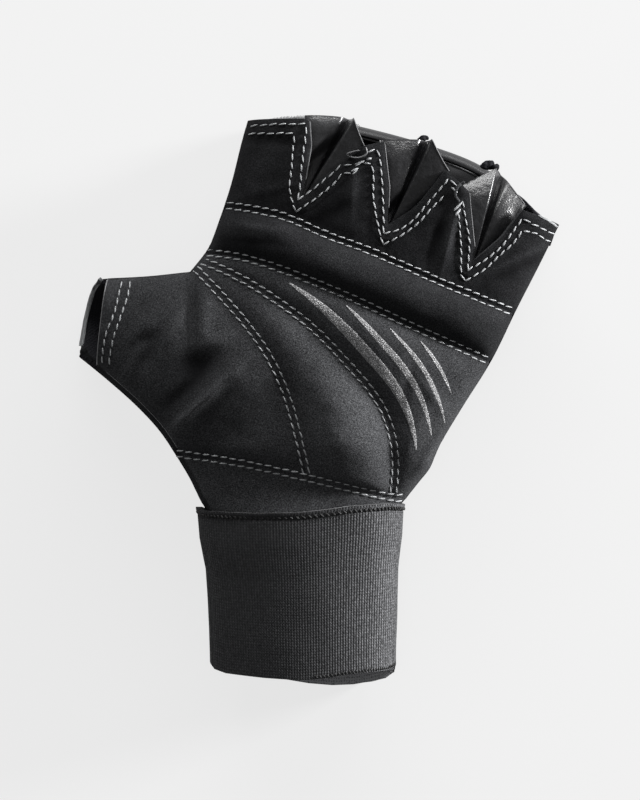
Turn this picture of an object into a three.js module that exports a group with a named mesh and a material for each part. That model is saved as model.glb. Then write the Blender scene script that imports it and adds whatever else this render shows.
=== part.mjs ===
// Fingerless boxing inner glove for the left hand, lying on its back with the palm up.
// Millimetres. X runs towards the little finger, Y towards the fingertips, Z up out of the palm.
import * as THREE from "three";
import { mergeVertices } from "three/addons/utils/BufferGeometryUtils.js";

// Walls and gaps
const SUEDE_WALL = 2.0; // palm leather with its thin lining
const BACK_WALL = 1.6; // stretch cloth on the back
const GUSSET_WALL = 1.2; // thin smooth leather between the fingers
const CUFF_WALL = 1.7; // woven elastic
const SEAM_GAP = 0.44; // between two sewn panels
const EDGE_BAND = 0.45; // the panels stay this wide at the height of the side seam

// How far each side swells out from the side seam, per root of the room between the edges
const PALM_FULLNESS = 3.0;
const BACK_FULLNESS = 5.2; // before the glove's weight flattens it
const FINGER_THINNING = { share: 0.28, from: 42, over: 50 }; // the finger end is flatter, along the hand

// Height of the side seam over the table, and how it drops towards the thumb's end and the cuff
const SIDE_SEAM = { palm: 17, thumbDrop: 4, thumbX: -45, thumbOver: 40, cuffDrop: 4, cuffY: -15, cuffOver: 20 };
const HAND = { x: 0.34, y: 0.94 }; // direction from the wrist to the fingertips
const SEAM_CHANNEL = 1.2; // half width of the sunken band along each seam

// The padded leather bar under the back, whose far end swells into a roll beyond the back's rim
const KNUCKLE_PAD = {
  start: 58.5, thickness: 9.2, inset: 5, round: 5, left: -34, right: 78,
  roll: 12.8, rollDepth: 7.8, rollWaist: 4.2, rollBlend: 2.2,
};
const BACK_RAMP = { ahead: 15, over: 12, clear: 0.7 }; // where the back's cloth climbs onto the pad
const CUFF_LIFT = { height: 2.0, fromY: -30, over: 6 }; // and where it rises to lie inside the cuff

// Outlines and seams, as points that a smooth line runs through
const THUMB_SIDE = [
  [-97, 23], [-87.1, 15.5], [-75.2, 5.8], [-65.5, -2.9], [-57.6, -11.5],
  [-51.8, -20.2], [-46.8, -28.8], [-43.6, -35.8], [-41.5, -39.6], [-40.8, -46], [-40.6, -60],
];
const THUMB_TOP = [[-94, 43.2], [-78.8, 43.8], [-61.6, 44.6], [-46.8, 46.1]];
const INDEX_SIDE = [
  [-46.8, 46.1], [-40.3, 54.7], [-36.2, 65], [-32, 77.8], [-28.2, 93], [-25.9, 101], [-22.5, 112],
];
const LITTLE_SIDE = [
  [26.9, -60], [27.1, -46], [27.8, -39.6], [31, -35.8], [37.5, -27], [43.6, -15.5], [51.1, -2.9],
  [61.9, 14.4], [71, 33], [79.2, 49], [86.2, 63.2], [91, 73],
];
const ROLL_UPPER_SEAM = [[-34.4, 70.2], [-14, 65.9], [3.2, 58.5], [17.3, 53.3], [44.6, 41.4], [70.2, 31.3]];
const ROLL_LOWER_SEAM = [[-41.5, 53], [-28.4, 51.1], [-14.4, 46.8], [10, 36.9], [31.3, 27], [61.4, 13.6]];
const OUTER_ARC_SEAM = [
  [-43.7, 50.4], [-30.6, 44.6], [-15.1, 35.1], [-2.2, 25.2], [10.4, 12.2], [20.2, 0.4],
  [24.5, -8.6], [26.8, -20], [26.2, -35.5],
];
const INNER_ARC_SEAM = [
  [-45.4, 47.8], [-38.9, 41], [-25.6, 25.9], [-17.6, 14], [-12.6, 2.9], [-9, -9], [-4.7, -28.1],
];
const WRIST_SEAM = [[-52.4, -19.1], [-29.2, -22.7], [-4.7, -28.1], [7.2, -31], [26.2, -35.5], [31.2, -35.7]];
const THUMB_OPENING = [[-80.6, 10.4], [-76.7, 44]]; // front edge of the hole for the thumb
const WRIST_END = [[-40.8, -46], [26.9, -46]]; // the panels end here, inside the cuff
const BACK_THUMB_SEAM = [[-46.8, 46.1], [-34, 28], [-26, 5], [-25, -20], [-27, -46]];
const BACK_RIM = [[-26, 100.8], [-8, 102.2], [10, 100.5], [39, 93], [60, 84.5], [75, 71.8], [86, 62.8]];

// The palm's finger edge from the index to the little finger: flap corners, notch bottoms and points
// between them, with the number of facets on the stretch that ends there
const FINGER_EDGE = [
  { x: -25.9, y: 100.8, facets: 0 }, { x: -3.6, y: 101.5, facets: 4 }, // index flap
  { x: -3.2, y: 91, facets: 2 }, { x: -6.1, y: 73.4, facets: 3 }, // notch
  { x: 5.8, y: 83.4, facets: 3 }, { x: 15.2, y: 90.6, facets: 2 },
  { x: 22.9, y: 92.5, facets: 2 }, // middle flap
  { x: 24.8, y: 76, facets: 3 }, { x: 24.1, y: 62.6, facets: 2 }, // notch
  { x: 34.6, y: 69.6, facets: 3 }, { x: 44.8, y: 82.4, facets: 3 },
  { x: 53.2, y: 74.6, facets: 3 }, // ring flap
  { x: 55.3, y: 55, facets: 3 }, { x: 54.4, y: 49.7, facets: 1 }, // notch
  { x: 64.8, y: 58.4, facets: 3 }, { x: 72.6, y: 68.4, facets: 3 },
  { x: 86.4, y: 63.6, facets: 4 }, // little flap
];

// Fingers, from the base of each to its rim: the palm side is rounded over them
const FINGERS = [
  { baseX: -20, baseY: 66, rimX: -13, rimY: 101, halfWidth: 12, height: 2.2 },
  { baseX: 7, baseY: 58, rimX: 19, rimY: 93, halfWidth: 11, height: 2.4 },
  { baseX: 35, baseY: 47, rimX: 49, rimY: 81, halfWidth: 11, height: 2.4 },
  { baseX: 63, baseY: 35, rimX: 80, rimY: 68, halfWidth: 10, height: 2.0 },
];

// Broad mounds (above 0) and dents (below 0) of the palm side
const MOUNDS = [
  { x: -24, y: 12, along: 24, across: 13, turn: 55, height: 2.6 }, // ball of the thumb
  { x: 22, y: 22, along: 24, across: 9, turn: -42, height: 1.2 }, // ridge beside the outer arc
  { x: -47, y: 12, along: 9, across: 5, turn: 20, height: -1.2 }, // dimple below the thumb
  { x: -46, y: 33, along: 14, across: 2.6, turn: 92, height: -0.9 }, // fold running down from the crotch
  { x: -36, y: -12, along: 20, across: 6, turn: 42, height: -0.9 }, // crease across the heel
];

// Leather gussets: V is the notch, A and B the flap corners beside it, P the peak between them
const GUSSETS = [
  { name: "gusset_index_middle", V: [-6.6, 71], A: [-5.4, 101.8], P: [11.9, 100.6], B: [16.6, 88.8] },
  { name: "gusset_middle_ring", V: [23.8, 60], A: [21.2, 92.6], P: [39.8, 93], B: [46.4, 81] },
  { name: "gusset_ring_little", V: [54.2, 47], A: [50, 76], P: [63.8, 83.4], B: [74, 69.6] },
];
const GUSSET_SHAPE = {
  columns: 16, rows: 6, tip: 0.05, below: 3.0, foldAt: 0.6, foldWidth: 0.07, firstDip: 0.25, valley: 13.9,
  valleyRise: 8, bulge: 1.4,
};

// The elastic cuff, from its top edge down: half width, and heights above and below the side seam
const CUFF = [
  { y: -39.4, x: -7, half: 37.4, over: 15.2, under: 23, seam: 13 },
  { y: -46, x: -6.9, half: 36.8, over: 15.2, under: 22.6, seam: 13 },
  { y: -58, x: -6.5, half: 35, over: 14.6, under: 20.5, seam: 13 },
  { y: -72, x: -6.4, half: 34.4, over: 14.6, under: 18, seam: 13 },
  { y: -88, x: -6.2, half: 34, over: 14.4, under: 17.8, seam: 13 },
  { y: -98, x: -6.1, half: 33.6, over: 13.8, under: 17.2, seam: 13 },
];
// The cuff's lower edge hangs lower behind and rises in front on the right
const CUFF_HEM = { longer: 4.6, rise: 1.6 };
const CUFF_FACETS = 40;

const COLOUR = { suede: 0x2b2c2e, leather: 0x1d1e20, cloth: 0x232426, elastic: 0x36383b };

const clamp = (t) => Math.min(1, Math.max(0, t));
const smooth = (t) => clamp(t) ** 2 * (3 - 2 * clamp(t));
const mix = (a, b, t) => a + (b - a) * t;
const steps = (count) => [...Array(count + 1).keys()].map((i) => i / count);

// A line in plan that can be asked for its place at any share of its length
class Line {
  constructor(points) {
    this.points = points;
    this.along = [0];
    for (let i = 1; i < points.length; i++) {
      this.along.push(this.along[i - 1] + points[i].distanceTo(points[i - 1]));
    }
    this.length = this.along.at(-1);
  }
  static straight(corners) {
    return new Line(corners.map(([x, y]) => new THREE.Vector3(x, y, 0)));
  }
  static smooth(corners) {
    const curve = new THREE.CatmullRomCurve3(Line.straight(corners).points);
    return new Line(curve.getPoints(8 * (corners.length - 1)));
  }
  at(share) {
    const s = clamp(share) * this.length;
    const i = Math.max(1, this.along.findIndex((a) => a >= s));
    const t = (s - this.along[i - 1]) / (this.along[i] - this.along[i - 1] || 1);
    return this.points[i - 1].clone().lerp(this.points[i], t);
  }
  then(next) {
    return new Line([...this.points, ...next.points]);
  }
  reversed() {
    return new Line([...this.points].reverse());
  }
  // Share of the length at the place nearest to a point
  nearest([x, y]) {
    const far = (t) => this.at(t).distanceTo(new THREE.Vector3(x, y, 0));
    return steps(400).reduce((best, t) => (far(t) < far(best) ? t : best), 0);
  }
  // The stretch between the places nearest to two points
  between(from, to) {
    const [a, b] = [this.nearest(from), this.nearest(to)];
    return new Line(steps(32).map((t) => this.at(mix(a, b, t))));
  }
  // Distance from the line, positive on its left
  distance(x, y) {
    let best = Infinity;
    let side = 1;
    for (let i = 1; i < this.points.length; i++) {
      const [p, q] = [this.points[i - 1], this.points[i]];
      const [dx, dy] = [q.x - p.x, q.y - p.y];
      const size = dx * dx + dy * dy;
      if (size === 0) continue;
      const t = clamp(((x - p.x) * dx + (y - p.y) * dy) / size);
      const far = Math.hypot(x - p.x - t * dx, y - p.y - t * dy);
      if (far < best - 1e-9) {
        best = far;
        side = Math.sign(dx * (y - p.y) - dy * (x - p.x)) || 1;
      }
    }
    return best * side;
  }
}
const startOf = (line) => line.at(0).toArray();
const endOf = (line) => line.at(1).toArray();

const thumbSide = Line.smooth(THUMB_SIDE);
const thumbTop = Line.smooth(THUMB_TOP);
const indexSide = Line.smooth(INDEX_SIDE);
const littleSide = Line.smooth(LITTLE_SIDE);
const upperEdge = thumbTop.then(indexSide).reversed();

// A seam whose two ends are moved onto the lines that it runs into
function seamBetween(points, startsOn, endsOn) {
  const start = startsOn.at(startsOn.nearest(points[0])).toArray();
  const end = endsOn.at(endsOn.nearest(points.at(-1))).toArray();
  return Line.smooth([start, ...points.slice(1, -1), end]);
}
const rollUpper = seamBetween(ROLL_UPPER_SEAM, indexSide, littleSide);
const rollLower = seamBetween(ROLL_LOWER_SEAM, indexSide, littleSide);
const wristSeam = seamBetween(WRIST_SEAM, thumbSide, littleSide);
const outerArc = seamBetween(OUTER_ARC_SEAM, indexSide, wristSeam);
const innerArc = seamBetween(INNER_ARC_SEAM, indexSide, wristSeam);
const palmSeams = [rollUpper, rollLower, outerArc, innerArc, wristSeam];
const backThumbSeam = Line.smooth(BACK_THUMB_SEAM);
const backRim = seamBetween(BACK_RIM, indexSide, littleSide);

// Room between the edges of the glove: zero at the outline, a quarter of the width amid a parallel tube
function room(x, y) {
  const [a, b, c] = [thumbSide, upperEdge, littleSide].map((edge) => edge.distance(x, y));
  return 1 / (1 / a + 1 / b + 1 / c);
}
const alongHand = (x, y) => HAND.x * x + HAND.y * y;

function sideSeam(x, y) {
  const { palm, thumbDrop, thumbX, thumbOver, cuffDrop, cuffY, cuffOver } = SIDE_SEAM;
  return palm - thumbDrop * smooth((thumbX - x) / thumbOver) - cuffDrop * smooth((cuffY - y) / cuffOver);
}

function overFingers(x, y) {
  return FINGERS.reduce((sum, f) => {
    const [dx, dy] = [f.rimX - f.baseX, f.rimY - f.baseY];
    const size = Math.hypot(dx, dy);
    const along = ((x - f.baseX) * dx + (y - f.baseY) * dy) / size;
    const across = ((x - f.baseX) * dy - (y - f.baseY) * dx) / size;
    return sum + f.height * smooth(along / 25) * Math.exp(-((across / f.halfWidth) ** 2));
  }, 0);
}
function overMounds(x, y) {
  return MOUNDS.reduce((sum, m) => {
    const turn = THREE.MathUtils.degToRad(m.turn);
    const along = (x - m.x) * Math.cos(turn) + (y - m.y) * Math.sin(turn);
    const across = (y - m.y) * Math.cos(turn) - (x - m.x) * Math.sin(turn);
    return sum + m.height * Math.exp(-((along / m.along) ** 2) - (across / m.across) ** 2);
  }, 0);
}
// Height of the palm side over the side seam, before the padding
function palmRise(x, y) {
  const { share, from, over } = FINGER_THINNING;
  const d = Math.max(0, room(x, y) - EDGE_BAND);
  const flatter = 1 - share * smooth((alongHand(x, y) - from) / over);
  const fade = 1 - Math.exp(-d / 3);
  return PALM_FULLNESS * flatter * Math.sqrt(d) + fade * (overFingers(x, y) + overMounds(x, y));
}
// Padding swells between the seams and is drawn in along them
function padding(x, y, height, slope) {
  const away = Math.min(...palmSeams.map((seam) => Math.abs(seam.distance(x, y))));
  const fade = 1 - Math.exp(-Math.max(0, room(x, y)) / 2);
  return height * fade * (1 - Math.exp(-Math.max(0, away - SEAM_CHANNEL) / slope));
}
// Level at which the back lies: on the table, on the knuckle pad, or inside the cuff
function restLevel(x, y) {
  const fromPad = alongHand(x, y) - KNUCKLE_PAD.start;
  const climb = smooth((fromPad + BACK_RAMP.ahead) / BACK_RAMP.over);
  const onPad = (KNUCKLE_PAD.thickness + BACK_RAMP.clear) * climb;
  return onPad + CUFF_LIFT.height * smooth((CUFF_LIFT.fromY - y) / CUFF_LIFT.over);
}

// The way out of the surface, from the slope of the squared height, which stays finite at the edge
function outward(x, y, fullness, height) {
  const step = 0.2;
  const slopeX = (room(x + step, y) - room(x - step, y)) / (2 * step);
  const slopeY = (room(x, y + step) - room(x, y - step)) / (2 * step);
  const pull = (fullness * fullness) / 2;
  return new THREE.Vector3(-pull * slopeX, -pull * slopeY, height).normalize();
}

// Spaces facets closer where a side of a panel is the glove's outline
function spaced(t, low, high) {
  if (low && high) return (1 - Math.cos(Math.PI * t)) / 2;
  if (low) return 1 - Math.cos((Math.PI * t) / 2);
  if (high) return Math.sin((Math.PI * t) / 2);
  return t;
}

// Place of a panel's point in plan, between its four sides
function inPlan({ bottom, top, left, right }, u, v) {
  const [b, t] = [bottom.at(u), top.at(u)];
  const flat = b.clone().lerp(t, v);
  if (!left) return flat; // two facing sides are enough for a panel that ends in points
  const [c00, c10, c01, c11] = [bottom.at(0), bottom.at(1), top.at(0), top.at(1)];
  const sides = left.at(v).lerp(right.at(v), u);
  const corners = c00.lerp(c10, u).lerp(c01.lerp(c11, u), v);
  return flat.add(sides).sub(corners);
}

// A closed solid from two grids of points of one size: the outside, and the inside or the other face
function solidBetween(outer, inner, shared = false) {
  const [rows, columns] = [outer.length, outer[0].length];
  const points = [...outer.flat(), ...inner.flat()];
  const far = rows * columns;
  const index = [];
  const quad = (a, b, c, d) => index.push(a, b, c, a, c, d);
  for (let j = 0; j + 1 < rows; j++) {
    for (let i = 0; i + 1 < columns; i++) {
      const a = j * columns + i;
      quad(a, a + 1, a + 1 + columns, a + columns);
      quad(far + a, far + a + columns, far + a + 1 + columns, far + a + 1);
    }
  }
  const wall = (a, b) => quad(a, far + a, far + b, b);
  for (let i = 0; !shared && i + 1 < columns; i++) {
    wall(i, i + 1);
    wall((rows - 1) * columns + i + 1, (rows - 1) * columns + i);
  }
  for (let j = 0; !shared && j + 1 < rows; j++) {
    wall((j + 1) * columns, j * columns);
    wall(j * columns + columns - 1, (j + 1) * columns + columns - 1);
  }
  const geometry = new THREE.BufferGeometry();
  geometry.setAttribute("position", new THREE.Float32BufferAttribute(points.flatMap((p) => p.toArray()), 3));
  geometry.setIndex(index);
  return shared ? mergeVertices(geometry, 1e-4) : geometry;
}

function flipped(geometry) {
  const index = geometry.index.array;
  for (let i = 0; i < index.length; i += 3) [index[i + 1], index[i + 2]] = [index[i + 2], index[i + 1]];
  return geometry;
}

// The plan places of a panel's grid, kept half a seam gap inside its sides
function planGrid(panel) {
  const shares = panel.shares ?? steps(panel.columns);
  const wide = (panel.bottom.length + panel.top.length) / 2;
  const kept = (t, size) => mix(SEAM_GAP / 2 / size, 1 - SEAM_GAP / 2 / size, t);
  return steps(panel.rows).map((row) =>
    shares.map((share) => {
      const u = kept(spaced(share, panel.lowU, panel.highU), wide);
      const tall = inPlan(panel, u, 1).distanceTo(inPlan(panel, u, 0));
      return inPlan(panel, u, kept(spaced(row, panel.lowV, panel.highV), tall));
    }),
  );
}

function palmPanel(panel) {
  const outer = [];
  const inner = [];
  for (const row of planGrid(panel)) {
    const places = row.map(({ x, y }) => {
      const low = sideSeam(x, y) + SEAM_GAP / 2;
      const rise = palmRise(x, y);
      const out = outward(x, y, PALM_FULLNESS, rise);
      const bare = new THREE.Vector3(x, y, Math.max(low, sideSeam(x, y) + rise));
      const top = bare.clone().setZ(bare.z + padding(x, y, panel.pad, panel.slope));
      const under = bare.clone().addScaledVector(out, -SUEDE_WALL);
      return [top, under.setZ(Math.max(low, under.z))];
    });
    outer.push(places.map((p) => p[0]));
    inner.push(places.map((p) => p[1]));
  }
  return solidBetween(outer, inner);
}

function backPanel(panel) {
  const outer = [];
  const inner = [];
  for (const row of planGrid(panel)) {
    const places = row.map(({ x, y }) => {
      const high = sideSeam(x, y) - SEAM_GAP / 2;
      const depth = BACK_FULLNESS * Math.sqrt(Math.max(0, room(x, y) - EDGE_BAND));
      const hanging = sideSeam(x, y) - depth;
      const lying = Math.max(hanging, restLevel(x, y));
      const out = outward(x, y, BACK_FULLNESS, depth);
      out.z *= -1;
      if (lying > hanging) out.set(0, 0, -1);
      const bottom = new THREE.Vector3(x, y, Math.min(high, lying));
      const above = bottom.clone().addScaledVector(out, -BACK_WALL);
      above.z = Math.min(high, above.z);
      return [bottom, above];
    });
    outer.push(places.map((p) => p[0]));
    inner.push(places.map((p) => p[1]));
  }
  return flipped(solidBetween(outer, inner));
}

// The finger edge, and the shares of its length at which facets start, so that every corner is kept
function fingerEdge() {
  const line = Line.straight(FINGER_EDGE.map(({ x, y }) => [x, y]));
  const shares = FINGER_EDGE.slice(1).flatMap(({ facets }, i) =>
    steps(facets).slice(1).map((t) => mix(line.along[i], line.along[i + 1], t) / line.length),
  );
  return { line, shares: [0, ...shares] };
}

// A gusset hangs in its notch, from the two flaps down to the back between the fingers
function gusset({ V, A, P, B }) {
  const { columns, rows, tip, below, foldAt, foldWidth, firstDip, valley, valleyRise, bulge } = GUSSET_SHAPE;
  const [rim, farRim] = [Line.straight([A, P]), Line.straight([P, B])];
  const grid = steps(rows).map((row) => {
    const v = mix(tip, 1, row);
    return steps(columns).map((a) => {
      const near = clamp(a / foldAt);
      const beyond = clamp((a - foldAt - foldWidth) / (1 - foldAt - foldWidth));
      const edge = a < foldAt ? rim.at(near) : farRim.at((a - foldAt) / (1 - foldAt));
      const [x, y] = [mix(V[0], edge.x, v), mix(V[1], edge.y, v)];
      const under = sideSeam(x, y) + palmRise(x, y) - below;
      const low = Math.min(under, valley + (1 - v) * valleyRise);
      const dip = a < foldAt ? firstDip * smooth(near * 1.4 - 0.4) : 1 - Math.sin((Math.PI / 2) * beyond);
      const swell = bulge * v * Math.sin(Math.PI * (a < foldAt ? near : beyond));
      return new THREE.Vector3(x, y, mix(under, low, dip * v) + swell);
    });
  });
  return solidBetween(grid, offsetGrid(grid, GUSSET_WALL));
}

// The same grid moved along its own normals, away from the face that turns up
function offsetGrid(grid, distance) {
  return grid.map((row, j) =>
    row.map((p, i) => {
      const alongRow = row[Math.min(i + 1, row.length - 1)].clone().sub(row[Math.max(i - 1, 0)]);
      const upGrid = grid[Math.min(j + 1, grid.length - 1)][i].clone().sub(grid[Math.max(j - 1, 0)][i]);
      return p.clone().addScaledVector(alongRow.cross(upGrid).normalize(), -distance);
    }),
  );
}

// The knuckle pad lies under the back, and its far end swells into a roll beyond the back's rim
function knucklePad() {
  const { start, thickness, inset, round, left, right, roll, rollDepth, rollWaist, rollBlend } = KNUCKLE_PAD;
  const onStart = (x) => [x, (start - HAND.x * x) / HAND.y];
  const leftSide = indexSide.between(onStart(left), startOf(backRim));
  const rightSide = littleSide.between(onStart(right), endOf(backRim));
  const bottom = Line.straight([startOf(leftSide), startOf(rightSide)]);
  const panel = { bottom, top: backRim, left: leftSide, right: rightSide };
  const [lower, upper] = [[], []];
  for (const row of steps(12)) {
    const places = steps(26).map((column) => {
      const u = mix(inset / bottom.length, 1 - inset / bottom.length, spaced(column, true, true));
      const { x, y } = inPlan(panel, u, spaced(row, true, true));
      const fromRim = Math.abs(backRim.distance(x, y));
      const fromSides = [upperEdge, littleSide].map((side) => Math.abs(side.distance(x, y)) - inset);
      const onEdge = row % 1 === 0 || column % 1 === 0;
      const inside = onEdge ? 0 : clamp(Math.min(fromRim, alongHand(x, y) - start, ...fromSides) / round);
      const edge = Math.sqrt(1 - (1 - inside) ** 2);
      const swell = (roll - thickness) * (1 - smooth((fromRim - rollDepth + rollWaist) / rollBlend));
      const level = (z) => new THREE.Vector3(x, y, mix(thickness / 2, z, edge));
      return [level(0), level(thickness + swell)];
    });
    lower.push(places.map((p) => p[0]));
    upper.push(places.map((p) => p[1]));
  }
  return solidBetween(upper, lower, true);
}

// A ring of points round the cuff at one section, flattened where it lies on the table
function cuffRing({ x, y, half, over, under, seam }, inset, lower) {
  return steps(CUFF_FACETS).map((share) => {
    const angle = 2 * Math.PI * (share % 1);
    const [c, s] = [Math.cos(angle), Math.sin(angle)];
    const z = seam + (s > 0 ? over - inset : under - inset) * s;
    const behind = CUFF_HEM.longer * smooth(0.5 - s);
    const infront = CUFF_HEM.rise * smooth(0.2 + s) * smooth(0.5 + c / 2);
    return new THREE.Vector3(x + (half - inset) * c, y + lower ** 3 * (infront - behind), Math.max(inset, z));
  });
}

function cuff() {
  const rings = (inset) => CUFF.map((section, i) => cuffRing(section, inset, i / (CUFF.length - 1)));
  const around = [...rings(0), ...rings(CUFF_WALL).reverse(), rings(0)[0]];
  const columns = CUFF_FACETS + 1;
  const index = [];
  for (let j = 0; j + 1 < around.length; j++) {
    for (let i = 0; i < CUFF_FACETS; i++) {
      const a = j * columns + i;
      index.push(a, a + columns + 1, a + columns, a, a + 1, a + columns + 1);
    }
  }
  const geometry = new THREE.BufferGeometry();
  const points = around.flat().flatMap((p) => p.toArray());
  geometry.setAttribute("position", new THREE.Float32BufferAttribute(points, 3));
  geometry.setIndex(index);
  return mergeVertices(geometry, 1e-4);
}

const glove = new THREE.Group();
const add = (name, geometry, colour, roughness) => {
  const material = new THREE.MeshStandardMaterial({ color: colour, roughness, metalness: 0 });
  const mesh = new THREE.Mesh(geometry, material);
  mesh.name = name;
  glove.add(mesh);
};

const wristEnd = Line.straight(WRIST_END);
const edge = fingerEdge();
const PALM_PANELS = {
  palm_finger_panel: {
    bottom: rollUpper, top: edge.line, shares: edge.shares, rows: 5, pad: 0.7, slope: 4,
    left: indexSide.between(startOf(rollUpper), startOf(edge.line)),
    right: littleSide.between(endOf(rollUpper), endOf(edge.line)),
  },
  palm_roll: {
    bottom: rollLower, top: rollUpper, columns: 24, rows: 6, lowU: true, highU: true, pad: 3.2, slope: 3,
    left: indexSide.between(startOf(rollLower), startOf(rollUpper)),
    right: littleSide.between(endOf(rollLower), endOf(rollUpper)),
  },
  palm_centre: {
    bottom: outerArc, top: rollLower, columns: 22, rows: 10, highU: true, pad: 2.6, slope: 4,
    left: indexSide.between(startOf(outerArc), startOf(rollLower)),
    right: wristSeam.between(endOf(outerArc), endOf(wristSeam))
      .then(littleSide.between(endOf(wristSeam), endOf(rollLower))),
  },
  heel_crescent: {
    bottom: innerArc, top: outerArc, columns: 20, rows: 5, pad: 2.4, slope: 3.5,
    left: indexSide.between(startOf(innerArc), startOf(outerArc)),
    right: wristSeam.between(endOf(innerArc), endOf(outerArc)),
  },
  thumb_front: {
    bottom: thumbSide.between(THUMB_OPENING[0], startOf(wristSeam)),
    top: thumbTop.between(THUMB_OPENING[1], startOf(indexSide)).then(innerArc),
    left: Line.straight(THUMB_OPENING),
    right: wristSeam.between(startOf(wristSeam), endOf(innerArc)),
    columns: 22, rows: 8, lowV: true, highV: true, pad: 0.9, slope: 4,
  },
  wrist_front: {
    bottom: wristEnd, top: wristSeam, columns: 20, rows: 3, lowU: true, highU: true, pad: 0.6, slope: 3,
    left: thumbSide.between(startOf(wristEnd), startOf(wristSeam)),
    right: littleSide.between(endOf(wristEnd), endOf(wristSeam)),
  },
};
for (const [name, panel] of Object.entries(PALM_PANELS)) add(name, palmPanel(panel), COLOUR.suede, 0.9);

const backTop = seamBetween(
  BACK_RIM.map(([x, y]) => [x - HAND.x * KNUCKLE_PAD.rollDepth, y - HAND.y * KNUCKLE_PAD.rollDepth]),
  indexSide, littleSide,
);
const backEnd = Line.straight([BACK_THUMB_SEAM.at(-1), WRIST_END[1]]);
const BACK_PANELS = {
  thumb_back: {
    bottom: thumbSide.between(THUMB_SIDE[1], startOf(wristEnd)),
    top: thumbTop.between(THUMB_TOP[1], startOf(indexSide)).then(backThumbSeam),
    columns: 22, rows: 7, lowV: true, highV: true,
  },
  back_hand: {
    bottom: backEnd, top: backTop, columns: 16, rows: 24, lowU: true, highU: true,
    left: backThumbSeam.reversed().then(indexSide.between(startOf(indexSide), startOf(backTop))),
    right: littleSide.between(endOf(wristEnd), endOf(backTop)),
  },
};
for (const [name, panel] of Object.entries(BACK_PANELS)) add(name, backPanel(panel), COLOUR.cloth, 0.95);

for (const shape of GUSSETS) add(shape.name, gusset(shape), COLOUR.leather, 0.45);
add("knuckle_pad", knucklePad(), COLOUR.leather, 0.45);
add("cuff", cuff(), COLOUR.elastic, 0.9);

export default glove;
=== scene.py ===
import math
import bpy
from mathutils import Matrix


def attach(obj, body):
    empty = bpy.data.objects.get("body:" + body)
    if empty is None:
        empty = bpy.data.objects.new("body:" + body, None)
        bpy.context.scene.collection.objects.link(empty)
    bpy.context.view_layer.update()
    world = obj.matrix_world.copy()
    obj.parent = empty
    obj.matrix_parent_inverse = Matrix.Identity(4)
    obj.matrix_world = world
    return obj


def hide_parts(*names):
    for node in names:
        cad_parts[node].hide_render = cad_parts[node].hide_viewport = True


bl_info = {
    "name": "Boxing inner glove",
    "version": (1, 0, 0),
    "blender": (4, 5, 0),
    "location": "3D View > Sidebar > Glove",
    "description": "Fingerless boxing inner glove with a padded suede palm and a ribbed elastic cuff",
    "category": "Object",
}

from types import SimpleNamespace

import bmesh
import bpy
import numpy as np
from bpy.props import FloatProperty, FloatVectorProperty, PointerProperty
from mathutils import Matrix, Vector, noise

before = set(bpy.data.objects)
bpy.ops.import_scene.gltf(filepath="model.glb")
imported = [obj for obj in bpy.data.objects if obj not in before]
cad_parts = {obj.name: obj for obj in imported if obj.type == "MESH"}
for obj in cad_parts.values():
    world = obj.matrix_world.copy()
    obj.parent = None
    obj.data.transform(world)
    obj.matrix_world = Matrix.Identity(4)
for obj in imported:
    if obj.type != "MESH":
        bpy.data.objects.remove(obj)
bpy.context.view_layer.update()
MM = 0.001

# Outlines and seams in plan, in millimetres, as points that a smooth line runs through
THUMB_SIDE = [
    (-97, 23), (-87.1, 15.5), (-75.2, 5.8), (-65.5, -2.9), (-57.6, -11.5),
    (-51.8, -20.2), (-46.8, -28.8), (-43.6, -35.8), (-41.5, -39.6), (-40.8, -46), (-40.6, -60),
]
THUMB_TOP = [(-94, 43.2), (-78.8, 43.8), (-61.6, 44.6), (-46.8, 46.1)]
INDEX_SIDE = [
    (-46.8, 46.1), (-40.3, 54.7), (-36.2, 65), (-32, 77.8), (-28.2, 93), (-25.9, 101), (-22.5, 112),
]
LITTLE_SIDE = [
    (26.9, -60), (27.1, -46), (27.8, -39.6), (31, -35.8), (35.8, -29.6), (39.6, -24.8), (41.4, -20.4),
    (43.6, -15.5), (51.1, -2.9), (61.9, 14.4), (71, 33), (79.2, 49), (86.2, 63.2), (91, 73),
]
ROLL_UPPER_SEAM = [(-34.4, 70.2), (-14, 65.9), (3.2, 58.5), (17.3, 53.3), (44.6, 41.4), (70.2, 31.3)]
ROLL_LOWER_SEAM = [(-41.5, 53), (-28.4, 51.1), (-14.4, 46.8), (10, 36.9), (31.3, 27), (61.4, 13.6)]
OUTER_ARC_SEAM = [
    (-43.7, 50.4), (-30.6, 44.6), (-15.1, 35.1), (-2.2, 25.2), (10.4, 12.2), (20.2, 0.4),
    (24.5, -8.6), (26.8, -20), (26.2, -35.5),
]
INNER_ARC_SEAM = [
    (-45.4, 47.8), (-38.9, 41), (-25.6, 25.9), (-17.6, 14), (-12.6, 2.9), (-9, -9), (-4.7, -28.1),
]
WRIST_SEAM = [(-52.4, -19.1), (-29.2, -22.7), (-4.7, -28.1), (7.2, -31), (26.2, -35.5), (31.2, -35.7)]
THUMB_OPENING = [(-80.6, 10.4), (-76.7, 44)]
THUMB_BACK_RIM = [(-87.1, 15.5), (-87.1, 19.6), (-85.2, 31.8), (-82.2, 40.3), (-80, 42.8), (-78.8, 43.8)]
WRIST_END = [(-40.8, -46), (26.9, -46)]
BACK_THUMB_SEAM = [(-46.8, 46.1), (-34, 28), (-26, 5), (-25, -20), (-27, -46)]
BACK_RIM = [(-26, 101), (-8, 102.9), (2, 102.4), (10, 100.7), (39, 93), (60, 84.5), (75, 71.8), (86, 62.8)]
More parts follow.
